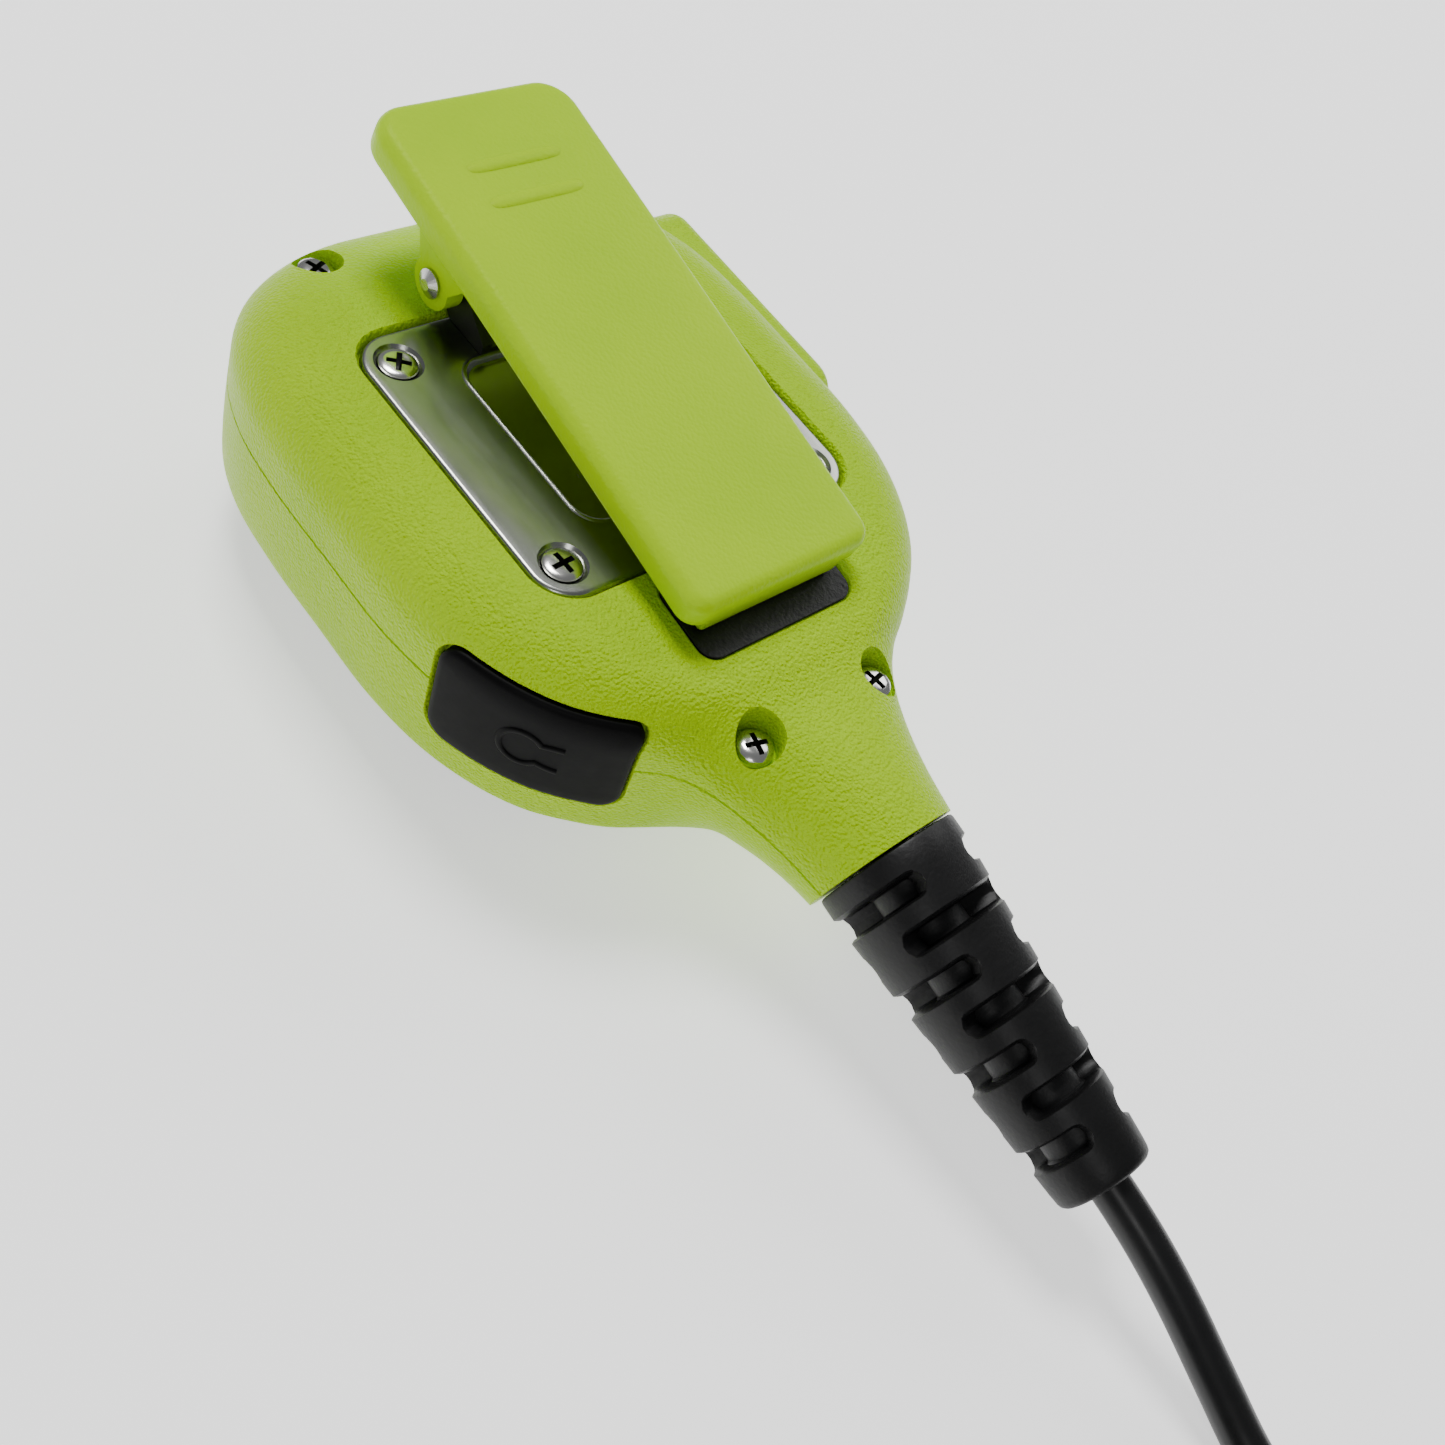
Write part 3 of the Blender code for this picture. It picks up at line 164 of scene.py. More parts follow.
def rounded(x0, x1, y0, y1, radius, steps=8, side=1):
    """A rounded rectangle's outline; side is the number of pieces each straight side has."""
    radius = max(min(radius, (x1 - x0) / 2 - 0.01, (y1 - y0) / 2 - 0.01), 0.02)
    corners = (
        (x1 - radius, y1 - radius, 0),
        (x0 + radius, y1 - radius, 90),
        (x0 + radius, y0 + radius, 180),
        (x1 - radius, y0 + radius, 270),
    )
    arcs = []
    for cx, cy, start in corners:
        arc = []
        for i in range(steps + 1):
            angle = math.radians(start + 90 * i / steps)
            arc.append((cx + radius * math.cos(angle), cy + radius * math.sin(angle)))
        arcs.append(arc)
    outline = []
    for i, arc in enumerate(arcs):
        outline += arc
        ax, ay = arc[-1]
        bx, by = arcs[(i + 1) % 4][0]
        for k in range(1, side):
            t = k / side
            outline.append((ax + (bx - ax) * t, ay + (by - ay) * t))
    return outline


def ring_at(outline, z):
    return [(x, y, z) for x, y in outline]


def turned(name, profile, mat=None, origin=(0, 0, 0), axis=(0, 0, 1), sides=48, back=True, sharp=35.0):
    direction = Vector(axis).normalized()
    turn = direction.to_track_quat("Z", "Y").to_matrix()
    rings = []
    for radius, along in profile:
        ring = []
        for i in range(sides):
            angle = 2 * math.pi * i / sides
            reach = max(radius, 0.01)
            point = Vector((reach * math.cos(angle), reach * math.sin(angle), along))
            ring.append(tuple(Vector(origin) + turn @ point))
        rings.append(ring)
    return loft(name, rings, mat, back, sharp)


def join(target, parts):
    """Put other meshes' faces into target's mesh, without welding them."""
    bm = bmesh.new()
    bm.from_mesh(target.data)
    for part in parts:
        bm.from_mesh(part.data)
    bm.to_mesh(target.data)
    bm.free()
    for part in parts:
        bpy.data.objects.remove(part, do_unlink=True)
    return target


def boolean(target, tool, operation="DIFFERENCE", sharp=35.0):
    modifier = target.modifiers.new("cut", "BOOLEAN")
    modifier.operation = operation
    modifier.solver = "EXACT"
    modifier.material_mode = "TRANSFER"
    modifier.object = tool
    graph = bpy.context.evaluated_depsgraph_get()
    result = bpy.data.meshes.new_from_object(target.evaluated_get(graph))
    target.modifiers.clear()
    target.data = result
    bpy.data.objects.remove(tool, do_unlink=True)
    smooth(target, sharp)
    return target


def piece(obj, body, nodes):
    """Parent a visual piece to the body it rides on and hide the CAD parts it stands for."""
    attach(obj, body)
    if nodes:
        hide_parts(*nodes)


# ---------------------------------------------------------------- materials

def new_material(name, color, roughness, metallic=0.0):
    mat = bpy.data.materials.new(name)
    mat.use_nodes = True
    bsdf = mat.node_tree.nodes["Principled BSDF"]
    bsdf.inputs["Base Color"].default_value = (*color, 1.0)
    bsdf.inputs["Roughness"].default_value = roughness
    bsdf.inputs["Metallic"].default_value = metallic
    return mat, bsdf


def add_node(mat, kind, **values):
    node = mat.node_tree.nodes.new(kind)
    for key, value in values.items():
        node.inputs[key].default_value = value
    return node


def mottle(mat, bsdf, dark, light, scale, low=0.35, high=0.65):
    """Vary the base colour between two tones with a soft noise."""
    links = mat.node_tree.links
    coords = add_node(mat, "ShaderNodeTexCoord")
    noise = add_node(mat, "ShaderNodeTexNoise", Scale=scale, Detail=3.0, Roughness=0.5)
    ramp = mat.node_tree.nodes.new("ShaderNodeValToRGB")
    ramp.color_ramp.elements[0].position = low
    ramp.color_ramp.elements[0].color = (*dark, 1.0)
    ramp.color_ramp.elements[1].position = high
    ramp.color_ramp.elements[1].color = (*light, 1.0)
    links.new(coords.outputs["Object"], noise.inputs["Vector"])
    links.new(noise.outputs["Fac"], ramp.inputs["Fac"])
    links.new(ramp.outputs["Color"], bsdf.inputs["Base Color"])


def grain(mat, bsdf, scale, distance, strength, detail=2.0, leather=False):
    """Moulded grain as bump: noise alone, or noise with rounded cells."""
    links = mat.node_tree.links
    coords = add_node(mat, "ShaderNodeTexCoord")
    noise = add_node(mat, "ShaderNodeTexNoise", Scale=scale, Detail=detail, Roughness=0.55)
    bump = add_node(mat, "ShaderNodeBump", Strength=strength, Distance=distance)
    links.new(coords.outputs["Object"], noise.inputs["Vector"])
    height = noise.outputs["Fac"]
    if leather:
        cells = mat.node_tree.nodes.new("ShaderNodeTexVoronoi")
        cells.feature = "SMOOTH_F1"
        cells.inputs["Scale"].default_value = scale * 0.9
        cells.inputs["Smoothness"].default_value = 0.6
        blend = mat.node_tree.nodes.new("ShaderNodeMath")
        blend.operation = "SUBTRACT"
        links.new(coords.outputs["Object"], cells.inputs["Vector"])
        links.new(noise.outputs["Fac"], blend.inputs[0])
        links.new(cells.outputs["Distance"], blend.inputs[1])
        height = blend.outputs["Value"]
    links.new(height, bump.inputs["Height"])
    links.new(bump.outputs["Normal"], bsdf.inputs["Normal"])


def vary_roughness(mat, bsdf, scale, low, high, stretch=(1.0, 1.0, 1.0)):
    links = mat.node_tree.links
    coords = add_node(mat, "ShaderNodeTexCoord")
    mapping = add_node(mat, "ShaderNodeMapping", Scale=stretch)
    noise = add_node(mat, "ShaderNodeTexNoise", Scale=scale, Detail=4.0, Roughness=0.6)
    span = add_node(mat, "ShaderNodeMapRange")
    span.inputs["To Min"].default_value = low
    span.inputs["To Max"].default_value = high
    links.new(coords.outputs["Object"], mapping.inputs["Vector"])
    links.new(mapping.outputs["Vector"], noise.inputs["Vector"])
    links.new(noise.outputs["Fac"], span.inputs["Value"])
    links.new(span.outputs["Result"], bsdf.inputs["Roughness"])


def lime(name, scale, strength, roughness):
    mat, bsdf = new_material(name, (0.42, 0.70, 0.0), roughness)
    mottle(mat, bsdf, (0.40, 0.68, 0.0), (0.445, 0.725, 0.0), 45.0)
    grain(mat, bsdf, scale, 0.0003, strength, leather=True)
    vary_roughness(mat, bsdf, 300.0, roughness - 0.05, roughness + 0.07)
    bsdf.inputs["Specular IOR Level"].default_value = 0.11
    bsdf.inputs["Specular Tint"].default_value = (0.80, 1.0, 0.20, 1.0)
    bsdf.inputs["Subsurface Weight"].default_value = 0.1
    bsdf.inputs["Subsurface Radius"].default_value = (0.0012, 0.0016, 0.0001)
    bsdf.inputs["Subsurface Scale"].default_value = 1.0
    return mat


def black(name, tone, roughness, scale, strength, distance=0.00012, shine=0.3):
    mat, bsdf = new_material(name, (tone, tone, tone * 1.04), roughness)
    mottle(mat, bsdf, (tone * 0.8,) * 3, (tone * 1.25, tone * 1.25, tone * 1.3), 120.0)
    grain(mat, bsdf, scale, distance, strength)
    vary_roughness(mat, bsdf, 500.0, roughness - 0.06, roughness + 0.08)
    bsdf.inputs["Specular IOR Level"].default_value = shine
    return mat


def metal(name, color, rough_low, rough_high, scale=900.0, stretch=(1.0, 0.12, 1.0), bump=0.06):
    mat, bsdf = new_material(name, color, rough_low, 1.0)
    mottle(mat, bsdf, tuple(c * 0.93 for c in color), color, 200.0)
    vary_roughness(mat, bsdf, scale, rough_low, rough_high, stretch)
    grain(mat, bsdf, 700.0, 0.00003, bump)
    return mat


MATS = {
    "housing": lime("lime_grained", 2900.0, 0.75, 0.30),
    "clip": lime("lime_smooth", 2200.0, 0.15, 0.36),
    "plate": metal("polished_plate", (0.38, 0.39, 0.36), 0.20, 0.30),
    "screw": metal("nickel_screw", (0.74, 0.73, 0.70), 0.14, 0.24, 600.0, (1.0, 1.0, 1.0)),
    # Painted shade: the screws' cross recesses get near-black steel instead of the heads' nickel.
    "recess": metal("screw_recess_painted_shade", (0.07, 0.07, 0.065), 0.4, 0.55),
    "pivot": metal("pivot_steel", (0.56, 0.56, 0.54), 0.22, 0.34),
    "bracket": metal("bracket_steel", (0.09, 0.09, 0.085), 0.4, 0.55),
    "inner_steel": metal("inner_steel", (0.48, 0.48, 0.48), 0.3, 0.42),
    "rubber": black("cover_rubber", 0.0025, 0.46, 1100.0, 0.10, shine=0.07),
    "relief": black("relief_rubber", 0.004, 0.44, 1500.0, 0.34, shine=0.32),
    "cord": black("cord_jacket", 0.006, 0.36, 600.0, 0.05, shine=0.4),
    "panel": black("panel_plastic", 0.010, 0.44, 1500.0, 0.22),
    "label": black("label_film", 0.007, 0.42, 2100.0, 0.8, 0.00014),
    "plug": black("plug_plastic", 0.008, 0.45, 1300.0, 0.2),
    "screen": black("screen_cloth", 0.02, 0.85, 2500.0, 0.6, 0.0002),
    "cone": black("cone_paper", 0.06, 0.8, 900.0, 0.3),
    "tie": black("tie_webbing", 0.02, 0.75, 2200.0, 0.6, 0.0002),
    "wires": new_material("wire_red", (0.42, 0.02, 0.02), 0.45)[0],
    "board": new_material("board_green", (0.015, 0.12, 0.045), 0.42)[0],
    "pins": metal("plated_pins", (0.80, 0.66, 0.34), 0.16, 0.26),
}
for extra in ("wires", "board"):
    shader = MATS[extra].node_tree.nodes["Principled BSDF"]
    grain(MATS[extra], shader, 800.0, 0.00005, 0.15)
    vary_roughness(MATS[extra], shader, 400.0, 0.38, 0.55)


# ---------------------------------------------------------------- camera and cord

def camera():
    data = bpy.data.cameras.new("camera")
    data.sensor_width = 36.0
    data.lens = 40.395
    obj = bpy.data.objects.new("camera", data)
    bpy.context.scene.collection.objects.link(obj)
    obj.location = (-0.1150, -0.0867, 0.1621)
    obj.rotation_euler = tuple(math.radians(a) for a in (36.207, -19.381, -40.423))
    bpy.context.scene.camera = obj
    data.clip_start = 0.005


def catmull(points, per_span):
    """Points along a Catmull-Rom curve through the route points."""
    knots = [Vector(p) for p in points]
    dense = []
    for i in range(len(knots) - 1):
        p0 = knots[max(i - 1, 0)]
        p1 = knots[i]
        p2 = knots[i + 1]
        p3 = knots[min(i + 2, len(knots) - 1)]
        for j in range(per_span):
            t = j / per_span
            dense.append(0.5 * (2 * p1 + (p2 - p0) * t + (2 * p0 - 5 * p1 + 4 * p2 - p3) * t * t
                                + (3 * p1 - p0 - 3 * p2 + p3) * t ** 3))
    dense.append(knots[-1])
    return dense


def coil_points():
    """Clockwise coil: two turns inwards on the surface, then outwards on top of them."""
    points = []
    steps = 24
    last = int(4.36 * steps)
    for i in range(1, last + 1):
        turn = i / steps
        angle = -2 * math.pi * turn
        if turn <= 2.0:
            radius = 33.05 - 5.12 * turn
            z = 2.55
        elif turn <= 2.35:
            t = (turn - 2.0) / 0.35
            ease = t * t * (3 - 2 * t)
            radius = 22.81 + 2.4 * ease
            z = 2.55 + 4.45 * ease
        else:
            radius = 25.21 + 3.3 * (turn - 2.35)
            z = 7.0
        x = COIL_CENTRE.x + radius * math.cos(angle)
        y = COIL_CENTRE.y + radius * math.sin(angle)
        points.append((x, y, z))
    return points


CORD_START = [
    (0.0, -97.6, 14.35), (0.0, -100.8, 13.75), (0.0, -104.0, 13.15), (0.0, -108.0, 12.2),
    (0.0, -112.0, 10.95), (0.0, -116.5, 9.25), (-0.05, -121.0, 7.35), (-0.1, -125.5, 5.45),
    (-0.3, -130.0, 3.75), (-0.7, -134.5, 2.75), (-1.6, -139.5, 2.55), (-3.3, -146.0, 2.55),
    (-5.2, -153.0, 2.55),
]
CORD_END = [
    (-65.6, -178.2, 6.0), (-69.6, -175.6, 4.0), (-72.8, -171.5, 2.7), (-75.9, -166.0, 2.55),
    (-78.0, -160.0, 2.55), (-78.8, -154.0, 2.7), (-78.3, -148.0, 3.3), (-76.6, -142.0, 4.3),
    (-74.4, -137.0, 5.1), (-72.75, -134.4, 5.4), (-72.35, -131.9, 5.5), (-72.3, -130.95, 5.5),
]


def cord():
    """One tube from the strain relief to the plug's sleeve."""
    route = catmull(CORD_START + coil_points() + CORD_END, 3)
    sides = 20
    up = Vector((0.0, 0.0, 1.0))
    rings = []
    for i, centre in enumerate(route):
        ahead = (route[min(i + 1, len(route) - 1)] - route[max(i - 1, 0)]).normalized()
        side = ahead.cross(up).normalized()
        lift = side.cross(ahead)
        ring = []
        for k in range(sides):
            angle = 2 * math.pi * k / sides
            ring.append(tuple(centre + side * CORD_R * math.cos(angle) + lift * CORD_R * math.sin(angle)))
        rings.append(ring)
    tube = loft("cord_visual", rings, MATS["cord"], back=False, sharp=60.0)
    piece(tube, "unit", ("cord", "cord_coil", "cord_tail"))
    length = sum((b - a).length for a, b in zip(route, route[1:])) * MM
    print("cord length", round(length, 4))


camera()
cord()


# ---------------------------------------------------------------- housing surface

def station_curve(per_span):
    """The stations as a smooth sequence, with their first and last kept."""
    dense = []
    count = len(STATIONS)
    for i in range(count - 1):
        p0 = STATIONS[max(i - 1, 0)]
        p1 = STATIONS[i]
        p2 = STATIONS[i + 1]
        p3 = STATIONS[min(i + 2, count - 1)]
        gap0 = max(math.dist(p0[:3], p1[:3]), 1e-3)
        gap1 = max(math.dist(p1[:3], p2[:3]), 1e-3)
        gap2 = max(math.dist(p2[:3], p3[:3]), 1e-3)
        for j in range(per_span):
            t = j / per_span
            values = []
            for a, b, c, d in zip(p0, p1, p2, p3):
                mid = (c - b) / gap1
                m1 = mid if i == 0 else ((b - a) / gap0 * gap1 + mid * gap0) / (gap0 + gap1)
                m2 = mid if i == count - 2 else (mid * gap2 + (d - c) / gap2 * gap1) / (gap1 + gap2)
                h00 = 2 * t ** 3 - 3 * t * t + 1
                h10 = t ** 3 - 2 * t * t + t
                h01 = -2 * t ** 3 + 3 * t * t
                h11 = t ** 3 - t * t
                values.append(h00 * b + h10 * gap1 * m1 + h01 * c + h11 * gap1 * m2)
            dense.append(tuple(values))
    dense.append(STATIONS[-1])
    return dense


DENSE = station_curve(6)


def station_at(y):
    for upper, lower in zip(DENSE, DENSE[1:]):
        if upper[0] >= y >= lower[0]:
            t = (upper[0] - y) / max(upper[0] - lower[0], 1e-6)
            return tuple(a + (b - a) * t for a, b in zip(upper, lower))
    return DENSE[0] if y > DENSE[0][0] else DENSE[-1]


def wall_x(station, z):
    """Half width of the section at a height."""
    _, half, flat, top, wide_z, floor, floor_flat = station
    if z >= wide_z:
        rise = min((z - wide_z) / (top - wide_z), 1.0)
        return flat + (half - flat) * math.sqrt(max(1.0 - rise * rise, 0.0))
    drop = min((wide_z - z) / (wide_z - floor), 1.0)
    return floor_flat + (half - floor_flat) * math.sqrt(max(1.0 - drop * drop, 0.0))


def parting_z(y):
    return PARTING_LEVEL - PARTING_SLOPE * max(PARTING_KNEE_Y - y, 0.0)


def section(station, groove=0.0, inset=0.0, back_inset=0.0, floor_inset=0.0):
    """A closed ring of the housing, with a V groove of the given depth at the parting line."""
    y, half, flat, top, wide_z, floor, floor_flat = station
    half = half - inset
    flat = max(min(flat, half - 0.5), 0.05)
    floor_flat = max(floor_flat - inset, 0.05)
    top = top - back_inset
    floor = floor + floor_inset
    shape = (y, half, flat, top, wide_z, floor, floor_flat)
    quarter = [(flat * t, top) for t in (0.02, 0.35, 0.7)]
    upper = 22
    for i in range(upper + 1):
        angle = 0.5 * math.pi * i / upper
        quarter.append((flat + (half - flat) * math.sin(angle), wide_z + (top - wide_z) * math.cos(angle)))
    level = min(parting_z(y), wide_z - 0.45)
    level = max(level, floor + 1.2)
    quarter.append((wall_x(shape, (wide_z + level) / 2 + 0.1), (wide_z + level) / 2 + 0.1))
    quarter.append((wall_x(shape, level + 0.2), level + 0.2))
    quarter.append((wall_x(shape, level) - groove, level))
    quarter.append((wall_x(shape, level - 0.2), level - 0.2))
    start = math.asin(min((wide_z - level + 0.2) / (wide_z - floor), 0.999))
    lower = 12
    for i in range(1, lower + 1):
        angle = start + (0.5 * math.pi - start) * i / lower
        x = floor_flat + (half - floor_flat) * math.cos(angle)
        quarter.append((x, wide_z - (wide_z - floor) * math.sin(angle)))
    quarter.append((floor_flat * 0.5, floor))
    right = [(x, y, z) for x, z in quarter]
    left = [(-x, y, z) for x, z in reversed(quarter)]
    return right + left


def relief_point(x, up, along):
    """A point round the strain relief's axis, up towards the back and along towards the cord."""
    lift = Vector((0.0, -math.sin(NECK_TILT), math.cos(NECK_TILT)))
    return tuple(NECK_END + Vector((x, 0, 0)) + lift * up + Vector(RELIEF_AXIS) * along)


def clip_point(x, v, n):
    """A point in the clip's own frame: v runs up the slab, n points out of it, from the pin's axis."""
    y = PIN_Y + v * math.cos(CLIP_TILT) - n * math.sin(CLIP_TILT)
    z = PIN_Z + v * math.sin(CLIP_TILT) + n * math.cos(CLIP_TILT)
    return (x, y, z)


# Left wall, unrolled: u runs along its widest line from COVER_TOP_Y downwards.
COVER_TOP_Y = -16.4
COVER_LOW_Y = -35.9
COVER_Z = (-19.0, -4.4)
COVER_SKEW = 0.07
WALL = [(-station_at(-6.0 - 0.1 * i)[1], -6.0 - 0.1 * i) for i in range(340)]
WALL_U = [0.0]
for before, after in zip(WALL, WALL[1:]):
    WALL_U.append(WALL_U[-1] + math.dist(before, after))


def wall_y(u):
    low = 0
    high = len(WALL_U) - 1
    while high - low > 1:
        mid = (low + high) // 2
        if WALL_U[mid] <= u:
            low = mid
        else:
            high = mid
    t = (u - WALL_U[low]) / (WALL_U[high] - WALL_U[low])
    return WALL[low][1] + (WALL[high][1] - WALL[low][1]) * t


def wall_u(y):
    nearest = min(range(len(WALL)), key=lambda i: abs(WALL[i][1] - y))
    return WALL_U[nearest]


def wall_surface(u, z):
    y = wall_y(u)
    return Vector((-wall_x(station_at(y), z), y, z))


def wall_point(u, z, depth):
    """A point at a height over the left wall, outwards positive."""
    here = wall_surface(u, z)
    along = wall_surface(u + 0.3, z) - wall_surface(u - 0.3, z)
    rise = wall_surface(u, z + 0.15) - wall_surface(u, z - 0.15)
    normal = along.cross(rise).normalized()
    if normal.x > 0:
        normal = -normal
    return tuple(here + normal * depth)


def wall_pad(name, bounds, radius, layers, mat=None):
    """A closed pad on the left wall: layers of (inset, depth) from its underside to its face."""
    u0, u1, z0, z1 = bounds
    middle = (z1 - z0) / 2 - 0.15
    inward = [middle * (1 - t / 7) for t in range(7)]
    full = [(d, layers[0][1]) for d in inward if d > layers[0][0] + 0.3]
    full += layers
    full += [(d, layers[-1][1]) for d in reversed(inward) if d > layers[-1][0] + 0.3]
    rings = []
    for i, (inset, depth) in enumerate(full):
        outline = rounded(u0 + inset, u1 - inset, z0 + inset, z1 - inset, max(radius - inset, 0.15), 6, 12)
        if i in (0, len(full) - 1):
            outline = [(u, (z0 + z1) / 2) for u, _ in outline]
        rings.append([wall_point(u + COVER_SKEW * (COVER_Z[1] - z), z, depth) for u, z in outline])
    return loft(name, rings, mat, caps=False)


COVER_U = (wall_u(COVER_TOP_Y), wall_u(COVER_LOW_Y))
COVER_BOUNDS = (COVER_U[0], COVER_U[1], COVER_Z[0], COVER_Z[1])
COVER_MIDDLE_U = (COVER_U[0] + COVER_U[1]) / 2


def half_block(name, upper):
    """All the room above or below the parting line, less a hair."""
    gap = 0.012 if upper else -0.012
    far = 20.0 if upper else -40.0
    drop = PARTING_SLOPE * (70.0 + PARTING_KNEE_Y)
    profile = [(50.0, PARTING_LEVEL + gap), (PARTING_KNEE_Y, PARTING_LEVEL + gap),
               (-70.0, PARTING_LEVEL + gap - drop), (-70.0, far), (50.0, far)]
    return loft(name, [[(x, y, z) for y, z in profile] for x in (-60.0, 60.0)])


def neck_cut(name):
    """The room past the neck's end, square to the strain relief."""
    ring = [(-30, -30), (30, -30), (30, 30), (-30, 30)]
    return loft(name, [[relief_point(x, up, along) for x, up in ring] for along in (0.0, 30.0)])


def bezel():
    """The raised frame round the button, on the right wall."""
    rings = []
    for x, inset in ((26.0, 0.0), (36.3, 0.0), (36.9, 0.15), (37.4, 0.45), (37.7, 0.9), (37.8, 1.5)):
        outline = rounded(BEZEL_Y[0] + inset, BEZEL_Y[1] - inset, BEZEL_Z[0] + inset, BEZEL_Z[1] - inset,
                          BEZEL_CORNER - inset, 10, 6)
        rings.append([(x, y, z) for y, z in outline])
    return loft("bezel", rings)


def upright(name, x, y, radius, low, high, sides=20):
    """A vertical cylinder."""
    return turned(name, [(radius, low), (radius, high)], origin=(x, y, 0.0), sides=sides)


def housing_cavity(upper):
    """The room inside the shell, less the posts that carry the screws."""
    stops = (36.0, 33.5, 28.5, 21.4, 13.0, 2.0, -10.0, -18.0, -24.5, -29.5, -33.5, -37.5, -42.5, -47.0,
             -53.0)
    rings = []
    for y in stops:
        neck = max(0.0, min(1.0, (-y - 34.0) / 10.0))
        rings.append(section(station_at(y), 0.0, SHELL_T, 4.0 - neck * 0.8, 2.0 + neck))
    cavity = loft("cavity", rings)
    posts = [upright("post", x, y, HOUSING_POST_R, -30.0, 10.0, 24) for x, y, _ in SCREW_PLACES]
    if upper:
        posts += [upright("post", sx * PLATE_SCREW_X, sy * PLATE_SCREW_Y, PLATE_POST_R, -9.6, 10.0)
                  for sx in (-1, 1) for sy in (-1, 1)]
    return boolean(cavity, join(posts[0], posts[1:]))


def button_window():
    rings = []
    for x, grow in ((24.0, 0.0), (36.9, 0.0), (37.4, 0.12), (37.9, 0.5), (45.0, 0.5)):
        gap = grow + 0.3
        outline = rounded(BUTTON_Y[0] - gap, BUTTON_Y[1] + gap, BUTTON_Z[0] - gap, BUTTON_Z[1] + gap,
                          3.2 + grow, 8, 4)
        rings.append([(x, y, z) for y, z in outline])
    return loft("window", rings)


def socket_hole():
    place = Vector(wall_point(COVER_MIDDLE_U, JACK_Z, 0.0))
    inward = Vector(wall_point(COVER_MIDDLE_U, JACK_Z, -1.0)) - place
    profile = [(3.3, 1.0), (3.3, 7.0)]
    return turned("socket_hole", profile, origin=place, axis=(inward.x, inward.y, 0), sides=40)


def cover_pocket():
    u0, u1, z0, z1 = COVER_BOUNDS
    layers = [(0.0, -1.85), (0.0, -0.2), (-0.06, -0.06), (-0.35, 0.25), (-0.35, 3.0)]
    return wall_pad("pocket", (u0 - 0.5, u1 + 0.25, z0 - 0.14, z1 + 0.3), 3.0, layers)


def back_cuts():
    """Pockets of the clip plate and the label, and the housing screws' counterbores."""
    plate = []
    for grow, z in ((0.3, -1.5), (0.3, -0.25), (0.42, 0.0), (0.75, 0.45), (0.75, 8.0)):
        plate.append(plate_ring(-grow, z, 4))
    label_rings = []
    for grow, height in ((0.2, -0.25), (0.2, 0.2), (0.45, 0.45), (0.45, 6.0)):
        label_rings.append(label_ring(grow, height))
    bores = [upright("bore", x, y, COUNTERBORE_R, head - 1.8, 9.0, 64) for x, y, head in SCREW_PLACES]
    return [loft("plate_pocket", plate), loft("label_pocket", label_rings)] + bores


def housing_cuts(upper):
    """Everything that is cut from one half, in order."""
    tools = [neck_cut("neck"), button_window(), socket_hole(), cover_pocket()]
    tail_bore = [(3.65, -9.0), (3.65, -0.2)]
    tools.append(turned("tail_bore", tail_bore, origin=tuple(NECK_END), axis=RELIEF_AXIS, sides=32))
    if upper:
        tools += back_cuts()
        tools += [upright("screw_hole", x, y, 1.3, -14.0, head - 1.0) for x, y, head in SCREW_PLACES]
        tools += [upright("pilot", sx * PLATE_SCREW_X, sy * PLATE_SCREW_Y, 1.4, -8.6, 2.0)
                  for sx in (-1, 1) for sy in (-1, 1)]
    else:
        tools.append(upright("speaker_window", 0, SPEAKER_Y, 15.6, -29.0, -19.0, 48))
        tools.append(upright("mic_window", 0, MIC_Y, 5.5, -29.0, -19.0, 32))
        tools += [upright("pilot", x, y, 1.22, head - 11.1, head - 2.0) for x, y, head in SCREW_PLACES]
    return tools


def housing():
    for node, upper in (("rear_housing", True), ("front_housing", False)):
        shell = loft(node + "_visual", [section(s, groove=0.28) for s in DENSE], None, sharp=40.0)
        boolean(shell, bezel(), "UNION")
        boolean(shell, housing_cavity(upper))
        boolean(shell, half_block("half", upper), "INTERSECT")
        for tool in housing_cuts(upper):
            boolean(shell, tool)
        shell.data.materials.clear()
        shell.data.materials.append(MATS["housing"])
        smooth(shell, 32.0)
        piece(shell, "unit", (node,))


def label_ring(grow, height):
    outline = rounded(-LABEL_HALF_X - grow, LABEL_HALF_X + grow, LABEL_Y[0] - grow, LABEL_Y[1] + grow,
                      2.2 + grow, 10, 3)
    return [(x, y, LABEL_EDGE_Z + (y - LABEL_Y[1]) * math.tan(LABEL_TILT) + height) for x, y in outline]


def label():
    """Textured film in the recess under the clip's lip."""
    rings = [label_ring(0.0, 0.05), label_ring(0.0, 0.33), label_ring(-0.06, 0.39), label_ring(-0.15, 0.4)]
    piece(loft("label_visual", rings, MATS["label"]), "unit", ("label",))


